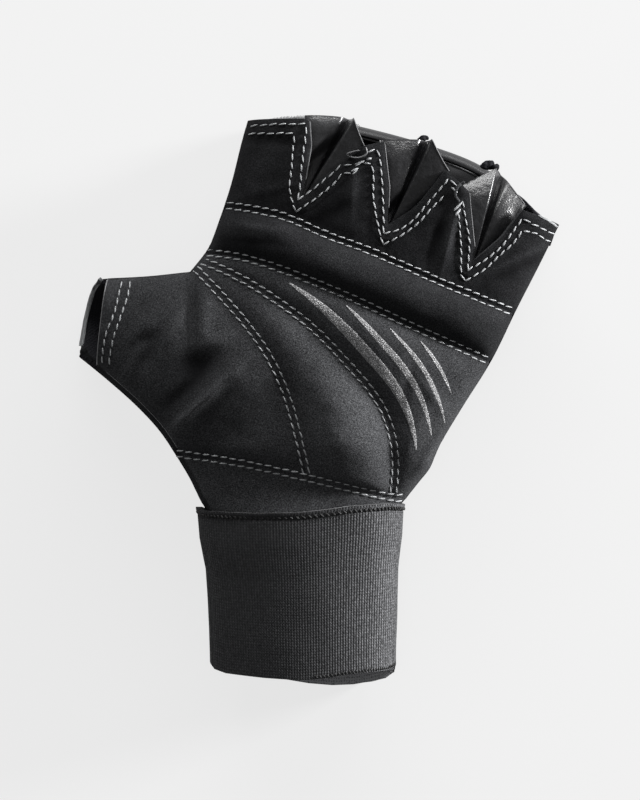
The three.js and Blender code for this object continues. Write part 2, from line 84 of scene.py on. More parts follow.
FINGER_EDGE = [
    (-25.9, 101.2), (-3.8, 100.7), (-3.2, 91), (-6.1, 73.4), (5.8, 83.4), (15.2, 90.6), (22.9, 92.5),
    (24.8, 76), (24.1, 62.6), (34.6, 69.6), (44.8, 82.4), (53.2, 74.6), (55.3, 55), (54.4, 49.7),
    (64.8, 58.4), (72.6, 68.4), (86.4, 63.6),
]

# The palm stands nearer the lens than the outline, so its marks are drawn by this much smaller
PALM_SCALE = 0.9935

# Rows of stitches round the finger flaps and the thumb hole; a corner is where two rows meet
FLAP_ROWS = [
    # Index finger
    [(-25.6, 98.6), (-14, 98.7), (-4.9, 98.7)],
    [(-5.0, 98.2), (-5.5, 94), (-6.4, 87.8), (-7.6, 74.4), (-8.3, 71.3)],
    [(-8.3, 71.3), (-1.9, 75.6), (4.7, 81), (8.1, 83.8), (11.5, 83.6)],
    [(-26.4, 95.8), (-16, 95.4), (-9.4, 95.4)],
    [(-9.4, 94.9), (-9.8, 90), (-10.6, 81.4), (-11, 74.9), (-8.9, 67.1)],
    [(-8.9, 67.1), (-2.3, 71.3), (5.4, 77.4), (8.6, 81.2), (11.6, 80.5), (13.8, 82)],
    # Middle finger
    [(16.7, 88.2), (20.4, 89.2), (21.4, 84.8), (22, 77.2), (22.4, 66.8), (22.5, 59.2)],
    [(22.5, 59.2), (28.8, 60.8), (34.8, 65.5), (39.6, 71.3), (46.3, 78.9)],
    [(12.2, 83.4), (15.8, 84.6), (18.3, 83.8), (18.9, 72), (20.7, 61.7), (22.3, 55.2)],
    [(22.3, 55.2), (29.1, 58.6), (34.8, 62.7), (40.1, 68.4), (44.6, 72.7)],
    # Ring finger
    [(46.3, 78.9), (48.8, 75.4)],
    [(50.7, 71.4), (52, 64.3), (53.2, 56), (52.8, 48.6), (52.5, 46)],
    [(52.5, 46), (59.8, 50.3), (65.2, 54.8), (69.5, 60.4), (72.7, 64.9)],
    [(49.1, 67.2), (50.1, 58.1), (50.3, 50.7), (50.3, 44.9), (51.7, 42.4)],
    [(51.7, 42.4), (59, 46.5), (64.3, 51.5), (69.7, 56.3), (72.8, 60.6)],
    # Little finger
    [(72.7, 64.9), (76.3, 62.8), (79.6, 61.6), (85.2, 59.5)],
    [(72.8, 60.6), (78, 59.5), (81.3, 57.7), (83.8, 57.1)],
]
THUMB_ROWS = [
    [(-71.7, 43.4), (-73.6, 34.2), (-75.2, 29.2), (-77, 24.8), (-78.3, 19.8), (-79, 13)],
    [(-68.8, 43.4), (-69.5, 37.4), (-71.4, 31.7), (-74.7, 22), (-76.6, 12.5)],
]

# Walls and gaps, in millimetres, as in the solids
SUEDE_WALL = 2.0
BACK_WALL = 1.6
GUSSET_WALL = 1.2
CUFF_WALL = 1.7
SEAM_GAP = 0.06
# The side seam is this wide and flat. Further in, either side rises by its fullness times the root of the room
EDGE_BAND = 0.45
PALM_FULLNESS = 3.0
BACK_FULLNESS = 5.2
# Towards the fingers the palm side loses this share of its height
FINGER_THINNING = {"share": 0.28, "start": 42, "over": 50}
# The side seam's height: at the palm, and how far it drops towards the thumb's tip and the cuff
SIDE_SEAM = {
    "palm": 17, "thumb_drop": 4, "thumb_x": -45, "thumb_over": 40, "cuff_drop": 4, "cuff_y": -15, "cuff_over": 20,
}
# The way from the wrist to the fingers, in plan
HAND = np.array((0.34, 0.94))
# The palm's seams lie in channels: a joint between two puckered rows of stitches
SEAM = {
    "channel": 1.2, "wrist_slope": 1.2, "joint": 0.12, "joint_width": 0.5, "pucker": 0.11, "pucker_at": 1.9,
    "pucker_width": 1.1,
}
# How far in from the outline a form of the palm side reaches its full height
FADE = {"forms": 3, "seams": 2}
# The groove along the thumb's low side
SIDE_GROOVE = {"depth": 0.35, "at": 2.2, "width": 0.45}
# The bar is "thickness" high and starts a wedge behind "start", along the hand. The roll is its raised far end
KNUCKLE_PAD = {
    "start": 58.5, "wedge": 9, "tuck": 9, "deep": 46, "thickness": 9.2, "inset": 5, "round": 5, "rim_round": 3.8,
    "left": -34, "right": 78, "channels": (0.27, 0.5, 0.73), "channel": 0.8, "channel_width": 1.1,
    "border": 5.5, "border_width": 1.3,
    "roll": 12.8, "roll_depth": 7.8, "roll_waist": 4.2, "roll_blend": 2.2,
}
# The facing behind the roll, inside the ring finger's hole
FACING = {"sides": (-4.2, -15), "shares": (0.56, 0.85), "level": 12.1, "crown": 0.4, "wall": 0.8, "worn": 0.14}
# The back climbs onto the bar, is drawn in along its seam, and lifts off the table to enter the cuff
BACK_RAMP = {"ahead": 15, "over": 12, "clear": 0.7}
BACK_GROOVE = {"depth": 0.85, "width": 2.8}
CUFF_LIFT = {"height": 2.0, "start": -30, "over": 6}
# The turned hem of the finger flaps, and how light its cut edge is
HEM = {"width": 6.2, "height": 0.35, "soft": 0.8, "turned": 0.5, "turned_width": 0.7, "cut_edge": 0.5}
# Small uneven swells: height, scale, seed
CRUMPLES = {
    "palm": (0.32, 9, 3.1), "palm_fine": (0.16, 4, 7.7), "nap": (0.06, 16, 9.9), "gusset": (0.3, 6, 11.3),
    "gusset_fine": (0.12, 2.2, 4.4), "pad": (0.25, 6, 5.5), "facing": (0.2, 4, 2.7), "lip": (0.5, 3, 6.1),
}
# How light the suede is painted, partly its nap and partly painted light and shade: the share that fades
# by the seams, as painted shade in their channels; what forms add, lighter on swells and darker in dents;
# the least amount at which the patches of painted light and shade are added; and a darker band along the
# thumb's low side
NAP_AND_LIGHT = {
    "by_seams": 0.3, "reach": 4, "forms": 0.16, "patches_from": 0.15, "edge": 2.3, "edge_soft": 0.6, "edge_dark": 0.7,
}

# Fingers from base to rim, over which the palm side is rounded: base x, y, rim x, y, half width, height
FINGERS = [
    (-20, 66, -13, 101, 12, 2.2), (7, 58, 19, 93, 11, 2.4), (35, 47, 49, 81, 11, 2.4), (63, 35, 80, 68, 10, 2.0),
]
FINGER_RISE = 25
# Mounds and dents of the palm side, the two great ones first: centre x, y, half length, half width,
# turn in degrees, height
MOUNDS = [
    (-24, 12, 24, 13, 55, 2.6), (22, 22, 24, 9, -42, 1.2), (-43, 13, 8, 5, 15, -2.6),
    (-46, 33, 14, 2.6, 92, -1.5), (-36, -12, 20, 6, 42, -0.9),
]
GREAT_MOUNDS = 2
# Smaller folds that the thin suede falls into, in the same columns
FOLDS = [
    (42.5, -1.5, 9, 2.2, -54, 0.8), (-44.3, 33, 11, 1.2, 90, -0.9), (-41, 30, 11, 2.2, 80, 0.7),
    (-44.5, -3, 15, 1.8, 42, 1.9), (-48, 3.5, 10, 2.6, 42, -1.3), (-38, 20, 6, 2.4, 20, 0.6),
    (-63, 21.5, 3.5, 2.2, 40, -0.8), (-60, 18, 8, 3.0, 60, -1.0), (-54, 24, 8, 2.6, 62, 0.9),
    (-62, 28, 9, 3.2, 55, 0.7), (-66, 14, 7, 2.4, 60, 0.7), (-40, -6, 12, 2.6, 50, -0.6),
    (-36, 4, 9, 2.4, 40, 0.5), (11.2, 74, 9, 2.0, 86, 1.1), (4, 66, 12, 2.4, 25, -0.6),
    (46.2, 58.5, 10, 1.5, 76, 1.7), (41.4, 57, 10, 2.0, 74, -0.9), (72, 51, 15, 1.0, 26, 0.9),
    (73, 48, 15, 1.8, 26, -0.7), (-20, 84, 12, 3.0, 75, 0.5), (-17, 92, 14, 1.5, -8, -0.5),
    (-18, 75, 14, 1.8, 12, 0.4), (34, -12, 12, 2.2, 62, 0.7), (38, -17, 9, 1.8, 58, -0.9),
    (40, -20, 8, 1.4, 56, 1.0), (50, 8, 12, 2.6, 50, -0.4), (30, 3, 10, 2.0, 70, -0.5),
    (0, 62, 18, 2.2, -22, -0.4), (-25, 61.5, 9, 1.3, -10, 0.5), (-24, 56, 12, 1.5, -6, -0.5),
]
# Patches of painted light and shade on the suede, in the same columns, with the change in place of the height
LIGHT_AND_SHADE_PATCHES = [
    (-33, 26, 22, 8, -52, 0.4), (-50, 2, 14, 7, 50, -0.16), (17, -14, 30, 8, -64, 0.4),
    (6, -28, 22, 5, -8, 0.12), (64, 33, 10, 7, -25, 0.08), (-26, 34, 12, 6, -50, -0.12),
    (-22, 22, 20, 5, -50, -0.2), (-5, 52, 40, 4, -20, 0.1), (-20, 57, 17, 6, -15, -0.12),
    (-22, 62, 9, 1.4, -12, 0.12), (48, -2, 16, 8, 60, 0.1),
]
# Flap corners that curl up: x, y, reach, height
CURLS = [(14.6, 90.0, 4.0, 1.6), (52.0, 74.5, 4.6, 1.4), (86, 63.4, 3.0, 0.8), (-3.8, 101, 3.0, 0.5)]

# Gussets: notch V, flap corners A and B, peak P. The web plunges where its share from the notch to the
# rim is under "plunge", given beside the first flap and beside the pleat. "ridge" is the lobe that stands
# over the pleat: 1 for the second, -1 for the first. "rolled" is where the rim starts to roll over and how
# far it does on either lobe. The last entry is how far either lobe is painted lighter, as painted light; the
# notch keeps less of it, which paints shade there
GUSSETS = {
    "gusset_index_middle": {
        "V": (-6.6, 71), "A": (-5.4, 101.8), "P": (11.9, 100.6), "B": (16.6, 88.8), "ridge": 1,
        "plunge": (0.5, 0.9), "rolled": (0.8, 1.8, 0), "worn": (0.24, 0.07),
    },
    "gusset_middle_ring": {
        "V": (23.8, 60), "A": (21.2, 92.6), "P": (39.8, 93), "B": (46.4, 81), "ridge": 1,
        "plunge": (0.3, 0.5), "rolled": (0.62, 4, 1), "worn": (0, 0),
    },
    "gusset_ring_little": {
        "V": (54.2, 47), "A": (50, 76), "P": (63.8, 83.4), "B": (74, 69.6), "ridge": -1,
        "plunge": (0.1, 0.1), "rolled": (0.55, 7.2, 5.2), "worn": (0.03, 0.02),
    },
}
GUSSET_SHAPE = {
    "below": 2.6, "from_notch": 0.05, "fold_at": 0.6, "plunge": 6.5, "slit": 5.5, "slit_width": 0.045, "crest": 2.6,
    "sag": 0.3, "bulge": 0.7, "lowest": 10, "lightened_at_notch": 0.25,
}

# The cuff, from its top edge down: y, centre x, half width, height over and under the side seam
CUFF = np.array([
    (-39.4, -7, 37.4, 15.2, 23), (-46, -6.9, 36.8, 15.2, 22.6), (-58, -6.5, 35, 14.6, 20.5),
    (-72, -6.4, 34.4, 14.6, 18), (-88, -6.2, 34, 14.4, 17.8), (-98, -6.1, 33.6, 13.8, 17.2),
])
# Height of the cuff's own side folds
CUFF_SEAM = 13
# The cuff's edges, as the y at each x: the top edge, and the lower edge before and behind
CUFF_TOP = [
    (-44.4, -38.6), (-42.5, -39.8), (-33.8, -40.1), (-24.5, -40.3), (-8.3, -40.1), (3.2, -38.9), (10.8, -37.8),
    (25.2, -37), (30.4, -37.6),
]
CUFF_FRONT = [
    (-40.2, -92.5), (-39.6, -95), (-38, -96.8), (-34, -98), (-20, -99.2), (-7, -99.9), (2, -99.2), (10, -98),
    (18, -97.3), (24.5, -97), (26.8, -96), (27.6, -93),
]
CUFF_BACK = [
    (-40.2, -93), (-39.4, -95.6), (-37, -98), (-32, -99.6), (-14, -102), (-4, -103.6), (5, -104.3), (13, -104),
    (19, -103), (24, -101.3), (27, -98.6), (27.6, -95),
]
CUFF_LENGTH = CUFF[0, 0] - CUFF[-1, 0]
# The welt along the cuff's top edge, over a groove, and how far the ribs show on it
WELT = {
    "height": 1.5, "proud": 0.45, "soft": 0.4, "groove": 0.4, "groove_width": 0.45, "ribs_from": 0.6,
    "ribs_over": 0.8, "ribs_on_welt": 0.35,
}
# The cuff's wall waves where it lies over the table
CUFF_WAVES = {"height": 0.5, "scale": 19, "over": 2}
# Painted light on the cuff: inside the mouth, where shade falls, and outside towards the right and the upper half,
# which face the lamps
CUFF_LIGHT = {
    "lining": 1.15, "from_x": -14, "over_x": 26, "dims_x": 20, "dims_over": 7, "dims": 0.4, "from_z": 10,
    "over_z": 10, "least": 0.08,
}
# The turned edge inside the cuff: depth under the cuff's top, inset and width, thickness
CUFF_JOIN = {"depth": 5, "inset": 1.4, "width": 4.2, "wall": 0.9}
# Dark stitches under the cuff's welt: "half" is half a stitch's length as a share of its pitch, "up" and "down"
# are how far it reaches as a share of the cuff's length, and it stays "clear" of the table
CUFF_STITCHES = {
    "count": 108, "half": 0.42, "under_welt": 0.35, "up": 0.012, "down": 0.010, "clear": 0.65, "width": 0.8,
}
# Those over its hem run over a part of the way round, between two shares of the cuff's length
CUFF_HEM_STITCHES = {
    "count": 30, "start": 0.03, "over": 0.2, "half": 0.0021, "shares": (0.978, 0.998), "width": 0.55,
}

# Grip stripes: distance from the palm's outer arc of stitches, the share of the arc, width
GRIP_STRIPES = {
    "stripe_wide": (7.8, 0.27, 0.86, 4.6),
    "stripe_middle": (14.0, 0.43, 0.83, 3.2),
    "stripe_narrow": (19.6, 0.56, 0.81, 2.3),
    "stripe_short": (24.8, 0.64, 0.755, 1.7),
}
# Grip stripes lie on this swell of the padding, and taper by this power
STRIPE_PAD = 2.6
STRIPE_TAPER = 0.75
# The two rows of a seam lie this far apart, and stitches underneath stay this far over the table
SEAM_ROWS_APART = 2.2
STITCHES_CLEAR = 0.42
# How far a stitch leans over, and how much that varies
SLANT = {"mean": 0.15, "varies": 0.14, "seed": 2.2}
# How proud of the suede stitches lie, along the wrist seam and elsewhere, and in the cloth underneath
LIFTS = {"wrist": 0.45, "palm": 0.2, "under": -0.1}
# The swell of the padding under the finger flaps and under the thumb's front
FLAPS = {"pad": 0.7, "slope": 4, "hem": True}
THUMB = {"pad": 0.9, "slope": 4}
# Soft rolls and cut edges of leather, and how uneven they all are
ROLLS = {
    # The thumb hole's back rim is painted at the suede's lightest: painted light on a rim that faces away from the
    # lamps
    "thumb_rim_back": {"radius": 0.85, "look": "palm suede"},
    "thumb_rim_front": {"radius": 0.32},
    "thumb_rim_corner": {"radius": 1.5, "look": "palm suede", "segments": 30, "ends": 0.12, "lightening_to": 0.05},
    "thumb_seam": {"radius": 0.13, "segments": 120, "sides": 6},
    "gusset_rim": {"radius": 0.2, "segments": 80, "sides": 8},
    "flap_edge": {"radius": 0.2, "sides": 8},
    "curl_middle": {"radius": 0.3, "segments": 70, "sides": 8, "flat": 1.8},
    "curl_ring": {"radius": 0.55, "look": "palm suede", "segments": 50, "lightening_to": 0.8},
    "piping": {"radius": 0.34, "segments": 70, "sides": 8},
}
ROLL_UNEVEN = {"share": 0.12, "scale": 2.5}
# Cells across and along of each sheet that isn't a panel
CELLS = {
    "gusset": (90, 44), "knuckle_pad": (150, 76), "roll_facing": (50, 16), "cuff_join": (160, 6),
    "grip_stripe": (90, 8), "little_lip": (50, 20),
}
CUFF_CELLS = {"per_rib": 4, "along": 60}

# Cloth ends that stick out behind the fingers: x, y, z, length, width, turn in degrees
CLOTH_ENDS = [(37.2, 94.2, 15.5, 2.0, 1.1, 20), (60.4, 84.6, 15.5, 2.6, 1.6, 15), (63.2, 83.9, 15.6, 1.6, 1.2, -30)]
CLOTH_END = {"thickness": 1.6, "crumpled": 0.7, "scale": 1.3, "seed": 1}
# Strokes of thread over a cut edge: how many and how thick, where either end lies beside the edge, how far
# along the edge a stroke leans as a share of it, and how far either end is lifted
OVERLOCK = {
    "thumb": {"count": 76, "width": 0.5, "beside": (0.8, -0.9), "lifts": (0.7, 1.15)},
    "back": {
        "count": 64, "width": 0.4, "beside": (-1.5, 0.3), "lifts": (0.2, 1.1), "lean": 0.004, "varies": 0.3,
        "start": 0.06, "over": 0.27,
    },
    "flap": {"count": 26, "width": 0.42, "reach": (0.9, 0.5), "lifts": (0.1, -0.1), "lean": 0.03},
}
# The inner piping of the roll: where it starts and ends along the rim
PIPING = {"piping_middle": (0.30, 0.60), "piping_ring": (0.58, 0.84)}
PIPING_INSET = -4.6
# The seam along the thumb's low side and the corner where its hem turns over to the front
THUMB_SEAM = {"start": (-78, 9), "end": (-52, -18), "inset": 2.2}
THUMB_CORNER = [(-85.7, 19.2), (-85.2, 16.4), (-81.2, 13.0), (-77.4, 10.2)]
THUMB_CORNER_HEIGHT = 11.5
# The lip of the back's cloth beside the little finger
LIP_EDGE = [(69.5, 75.6), (73.4, 72.8), (76.4, 69.8), (79.6, 66.4), (82.9, 63.9), (85.6, 62.8)]
LIP = {"start": 0.3, "end": 14.2, "crown": 0.6, "under_seam": 0.2, "wall": 1.2}
# How far the edges round each kind of sheet are rounded
ROUNDED = {"palm": 0.22, "back": 0.35, "gusset": 0.25, "cuff": 0.3, "lip": 0.3}
# Thick loose stitches at the flaps' corners, from x, y to x, y
LOOSE_STITCHES = [
    (12.2, 83.5, 15.8, 84.8), (16.4, 85.2, 18.4, 85.8), (11.0, 81.0, 13.6, 82.2),
    (46.5, 75.5, 48.8, 73.5), (47.4, 67.0, 50.4, 70.2), (48.0, 65.4, 49.9, 67.8),
]
# Edges of the flaps' corners that curl up: how far they are lifted, and where they run
CURLED_EDGES = {
    "curl_middle": (
        1.0, [(16.2, 89.6), (16.6, 87.4), (14.6, 86.1), (11.6, 86.0), (9.6, 87.2), (11.6, 88.0), (14.2, 88.4)],
    ),
    "curl_ring": (0.4, [(51.4, 77.4), (48.9, 75.6), (48.0, 72.6), (49.4, 70.2)]),
}
# Cut edges of the flaps beside the notches, as the first and last corner of the finger edge
FLAP_EDGES = {"flap_edge_index": (1, 3), "flap_edge_middle": (6, 8), "flap_edge_ring": (11, 13)}
FRAYED_EDGE = [(77.6, 65.7), (81.6, 63.8), (84.8, 62.0)]

# The stage, in metres: the camera's height over the glove's middle for each mm of its lens, that middle, the
# floor's size and depth under the table's height, and how bright the world is as a light and to the camera
STAGE = {"height": 8 * MM, "middle": 0.017, "floor": 20.0, "under": 0.0002, "dim": 0.12, "pale": 0.9}
# Soft lights: place in metres, width and height in metres, power in watts
LIGHTS = {
    "key": ((1.7, 0.6, 0.26), 0.4, 0.35, 95.0),
    "top": ((0.1, 1.6, 0.5), 2.2, 0.35, 42.0),
    "fill": ((-0.2, -0.1, 1.8), 0.8, 0.8, 5.0),
}


def length_property(name, description, value):
    return FloatProperty(
        name=name, description=description, unit="LENGTH", subtype="DISTANCE", precision=5, default=value,
    )


class GloveSizes(bpy.types.PropertyGroup):
    stitch_pitch: length_property("Stitch pitch", "From one stitch to the next", 0.00325)
    stitch_length: length_property("Stitch length", "Thread that shows", 0.00265)
    stitch_width: length_property("Stitch width", "Thread thickness", 0.00056)
    cell: length_property("Cell", "Mesh size on the panels", 0.00115)
    rib_pitch: length_property("Rib pitch", "Between the cuff's ribs", 0.001)
    rib_depth: length_property("Rib depth", "Depth of the cuff's ribs", 0.00014)
    stripe_height: length_property("Stripe height", "How far the grip stripes stand out", 0.00025)
    knit_pitch: length_property("Knit pitch", "Loops of the back's cloth", 0.0011)


class GloveStage(bpy.types.PropertyGroup):
    lens: FloatProperty(name="Lens", description="Focal length of the camera", unit="CAMERA", default=120)
    floor_glow: FloatProperty(
        name="Floor glow", description="Light that the pale floor gives off", subtype="FACTOR", min=0, max=1,
        default=0.745,
    )


def colour_property(name, description, value):
    return FloatVectorProperty(
        name=name, description=description, subtype="COLOR", size=3, min=0, max=1, default=value,
    )


class GloveColours(bpy.types.PropertyGroup):
    suede: colour_property("Suede", "Palm suede", (0.006, 0.006, 0.0065))
    # The lighter suede colour, for the nap and for painted light and shade
    suede_nap: colour_property("Suede nap", "Lighter nap and painted light", (0.106, 0.108, 0.113))
    leather: colour_property("Leather", "Smooth leather", (0.0075, 0.0075, 0.0081))
    # The pale leather colour, for the cut edges and for painted light on the gussets' lobes
    leather_worn: colour_property("Pale leather", "Cut edges and painted light", (0.11, 0.11, 0.114))
    cloth: colour_property("Cloth", "Stretch cloth of the back", (0.006, 0.006, 0.007))
    elastic: colour_property("Elastic", "Cuff", (0.0235, 0.0237, 0.0246))
    thread: colour_property("Thread", "Seam thread", (0.41, 0.42, 0.43))
    stripe: colour_property("Stripe", "Glossy grip print", (0.56, 0.56, 0.57))
    floor: colour_property("Floor", "Floor and backdrop", (0.12, 0.12, 0.12))


def sizes():
    """The lengths that the panel gives, in millimetres."""
    group = bpy.context.scene.glove_sizes
    return SimpleNamespace(**{name: getattr(group, name) / MM for name in group.__annotations__})


def colours():
    return bpy.context.scene.glove_colours


# Plan geometry

def smoothstep(t):
    t = np.clip(t, 0, 1)
    return t * t * (3 - 2 * t)


def hump(away, width):
    """1 amid a ridge, and near 0 beyond its width."""
    return np.exp(-((away / width) ** 2))


def ease(away, reach):
    """0 at an edge, and near 1 well inside it."""
    return 1 - np.exp(-np.maximum(0, away) / reach)


def unit(vectors):
    return vectors / np.linalg.norm(vectors, axis=1)[:, None]


def leftward(runs):
    """Runs in plan, turned a quarter to the left."""
    return np.stack((-runs[:, 1], runs[:, 0]), axis=1)


def middles(count):
    """Shares of a line at the middles of its equal parts."""
    return (np.arange(count) + 0.5) / count


# How far ahead and back along a line its way is measured, as a share of its length
SHARE_STEP = 0.01


class Line:
    """A line in plan that gives its place at any share of its length."""

    def __init__(self, points):
        self.points = np.asarray(points, dtype=float)
        runs = np.linalg.norm(np.diff(self.points, axis=0), axis=1)
        self.along = np.concatenate(([0.0], np.cumsum(runs)))
        self.length = self.along[-1]

    @classmethod
    def smooth(cls, corners, pieces=6):
        """A centripetal Catmull-Rom line through the corners."""
        p = np.asarray([(c[0], c[1]) for c in corners], dtype=float)
        p = np.vstack((2 * p[0] - p[1], p, 2 * p[-1] - p[-2]))
        t = np.arange(pieces)[:, None] / pieces
        points = []
        for p0, p1, p2, p3 in zip(p, p[1:], p[2:], p[3:]):
            d0, d1, d2 = (max(np.linalg.norm(b - a) ** 0.5, 1e-4) for a, b in ((p0, p1), (p1, p2), (p2, p3)))
            m1 = d1 * ((p1 - p0) / d0 - (p2 - p0) / (d0 + d1) + (p2 - p1) / d1)
            m2 = d1 * ((p2 - p1) / d1 - (p3 - p1) / (d1 + d2) + (p3 - p2) / d2)
            points.append(p1 + m1 * t + (3 * (p2 - p1) - 2 * m1 - m2) * t**2 + (2 * (p1 - p2) + m1 + m2) * t**3)
        return cls(np.vstack(points + [p[-2:-1]]))

    def at(self, share):
        s = np.clip(share, 0, 1) * self.length
        return np.stack([np.interp(s, self.along, self.points[:, k]) for k in (0, 1)], axis=-1)

    def nearest(self, place):
        shares = np.linspace(0, 1, 2001)
        return shares[np.linalg.norm(self.at(shares) - np.asarray(place)[:2], axis=1).argmin()]

    def between(self, start, end):
        return Line(self.at(np.linspace(self.nearest(start), self.nearest(end), 65)))

    def then(self, other):
        return Line(np.vstack((self.points, other.points)))

    def reversed(self):
        return Line(self.points[::-1])

    def locate(self, places):
        """Distance of each place from the line, positive on its left, and how far along the line it lies."""
        run_x, run_y = np.diff(self.points, axis=0).T
        size = np.maximum(run_x**2 + run_y**2, 1e-12)
        x = places[:, 0, None] - self.points[:-1, 0]
        y = places[:, 1, None] - self.points[:-1, 1]
        t = np.clip((x * run_x + y * run_y) / size, 0, 1)
        far = (x - t * run_x) ** 2 + (y - t * run_y) ** 2
        rows, best = np.arange(len(places)), far.argmin(1)
        across = run_x[best] * y[rows, best] - run_y[best] * x[rows, best]
        along = self.along[best] + t[rows, best] * np.sqrt(size[best])
        return np.sqrt(far[rows, best]) * np.where(across < 0, -1, 1), along

    def distance(self, places):
        return self.locate(places)[0]

    def offset(self, distance, start=0.0, end=1.0):
        """The stretch between two shares, moved sideways: to the left where the distance is above 0."""
        return Line(self.beside(np.linspace(start, end, 80), distance))

    def beside(self, shares, distance):
        """Places beside the line, at one distance or one for each share."""
        ahead = self.at(shares + SHARE_STEP) - self.at(shares - SHARE_STEP)
        return self.at(shares) + np.reshape(distance, (-1, 1)) * unit(leftward(ahead))


def on_palm(points):
    return [tuple(PALM_SCALE * c for c in point) for point in points]


def seam_between(points, starts_on, ends_on):
    start = starts_on.at(starts_on.nearest(points[0]))
    end = ends_on.at(ends_on.nearest(points[-1]))
    return Line.smooth([start, *points[1:-1], end])


def ends(line):
    return line.at(0.0), line.at(1.0)


thumb_side = Line.smooth(THUMB_SIDE)
thumb_top = Line.smooth(THUMB_TOP)
index_side = Line.smooth(INDEX_SIDE)
little_side = Line.smooth(LITTLE_SIDE)
upper_edge = thumb_top.then(index_side).reversed()
roll_upper = seam_between(on_palm(ROLL_UPPER_SEAM), index_side, little_side)
roll_lower = seam_between(on_palm(ROLL_LOWER_SEAM), index_side, little_side)
wrist_seam = seam_between(on_palm(WRIST_SEAM), thumb_side, little_side)
outer_arc = seam_between(on_palm(OUTER_ARC_SEAM), index_side, wrist_seam)
inner_arc = seam_between(on_palm(INNER_ARC_SEAM), index_side, wrist_seam)
PALM_SEAMS = [roll_upper, roll_lower, outer_arc, inner_arc, wrist_seam]
back_thumb_seam = Line.smooth(BACK_THUMB_SEAM)
back_rim = seam_between(BACK_RIM, index_side, little_side)
finger_edge = Line(on_palm(FINGER_EDGE))
thumb_opening = Line(THUMB_OPENING)
wrist_end = Line(WRIST_END)


# Heights over the table, in millimetres

def room(places):
    """Zero at the glove's outline, and a quarter of the width amid a parallel tube."""
    a, b, c = (side.distance(places) for side in (thumb_side, upper_edge, little_side))
    total = sum(1 / np.where(np.abs(d) < 1e-6, 1e-6, d) for d in (a, b, c))
    return 1 / np.where(np.abs(total) < 1e-9, 1e-9, total)


def along_hand(places):
    return places @ HAND


def side_seam(places):
    x, y = places[:, 0], places[:, 1]
    thumb = smoothstep((SIDE_SEAM["thumb_x"] - x) / SIDE_SEAM["thumb_over"])
    cuff = smoothstep((SIDE_SEAM["cuff_y"] - y) / SIDE_SEAM["cuff_over"])
    return SIDE_SEAM["palm"] - SIDE_SEAM["thumb_drop"] * thumb - SIDE_SEAM["cuff_drop"] * cuff


def over_fingers(places):
    total = np.zeros(len(places))
    for base_x, base_y, rim_x, rim_y, half_width, height in FINGERS:
        run = np.array((rim_x - base_x, rim_y - base_y), dtype=float)
        run /= np.linalg.norm(run)
        away = places - (base_x, base_y)
        across = away[:, 0] * run[1] - away[:, 1] * run[0]
        total += height * smoothstep(away @ run / FINGER_RISE) * hump(across, half_width)
    return total


def over_mounds(places, mounds):
    total = np.zeros(len(places))
    for x, y, half_length, half_width, turn, height in mounds:
        c, s = math.cos(math.radians(turn)), math.sin(math.radians(turn))
        away = places - (x, y)
        along = away[:, 0] * c + away[:, 1] * s
        across = away[:, 1] * c - away[:, 0] * s
        total += height * np.exp(-((along / half_length) ** 2) - (across / half_width) ** 2)
    return total


def over_curls(places):
    return sum(h * np.exp(-(((places - (x, y)) / reach) ** 2).sum(1)) for x, y, reach, h in CURLS)


def palm_rise(places):
    d = np.maximum(0, room(places) - EDGE_BAND)
    thin = smoothstep((along_hand(places) - FINGER_THINNING["start"]) / FINGER_THINNING["over"])
    forms = over_fingers(places) + over_mounds(places, MOUNDS) + over_mounds(places, FOLDS)
    return PALM_FULLNESS * (1 - FINGER_THINNING["share"] * thin) * np.sqrt(d) + ease(d, FADE["forms"]) * forms


def seam_relief(places, height, slope):
    """Padding swells between the seams; along them it is drawn in, and puckered by the stitches."""
    located = [seam.locate(places) for seam in PALM_SEAMS]
    away = np.min([np.abs(d) for d, _ in located], axis=0)
    fade = ease(room(places), FADE["seams"])
    swell = height * fade
    for seam, (d, _) in zip(PALM_SEAMS, located):
        steep = min(slope, SEAM["wrist_slope"]) if seam is wrist_seam else slope
        swell *= ease(np.abs(d) - SEAM["channel"], steep)
    joint = -SEAM["joint"] * hump(away, SEAM["joint_width"])
    pucker = np.zeros(len(places))
    for d, along in located:
        wave = np.cos(2 * np.pi * along / sizes().stitch_pitch)
        pucker += SEAM["pucker"] * wave * hump(np.abs(d) - SEAM["pucker_at"], SEAM["pucker_width"])
    return swell + fade * (joint + pucker)


def rubbed(places, nap):
    """How light the suede is painted: lighter on swells and darker in dents, partly the nap's wear from rubbing and
    partly painted light and shade; painted shade along the seams' channels; patches of painted light and shade; and a
    darker band along the thumb's low side.
    """
    swell = ease(np.min([np.abs(seam.distance(places)) for seam in PALM_SEAMS], axis=0), NAP_AND_LIGHT["reach"])
    amount = nap * (1 - NAP_AND_LIGHT["by_seams"] + NAP_AND_LIGHT["by_seams"] * swell)
    amount += NAP_AND_LIGHT["forms"] * over_mounds(places, MOUNDS[GREAT_MOUNDS:] + FOLDS)
    if nap > NAP_AND_LIGHT["patches_from"]:
        amount += over_mounds(places, LIGHT_AND_SHADE_PATCHES)
    band = smoothstep((NAP_AND_LIGHT["edge"] - np.abs(thumb_side.distance(places))) / NAP_AND_LIGHT["edge_soft"])
    return np.clip((amount + crumple(places, "nap")) * (1 - NAP_AND_LIGHT["edge_dark"] * band), 0, 1)


def noise_at(points):
    return np.array([noise.noise(Vector(point)) for point in points])


def crumple(places, name):
    """Small uneven swells, the same on every run."""
    height, scale, seed = CRUMPLES[name]
    return height * noise_at(np.column_stack((places / scale, np.full(len(places), seed))))


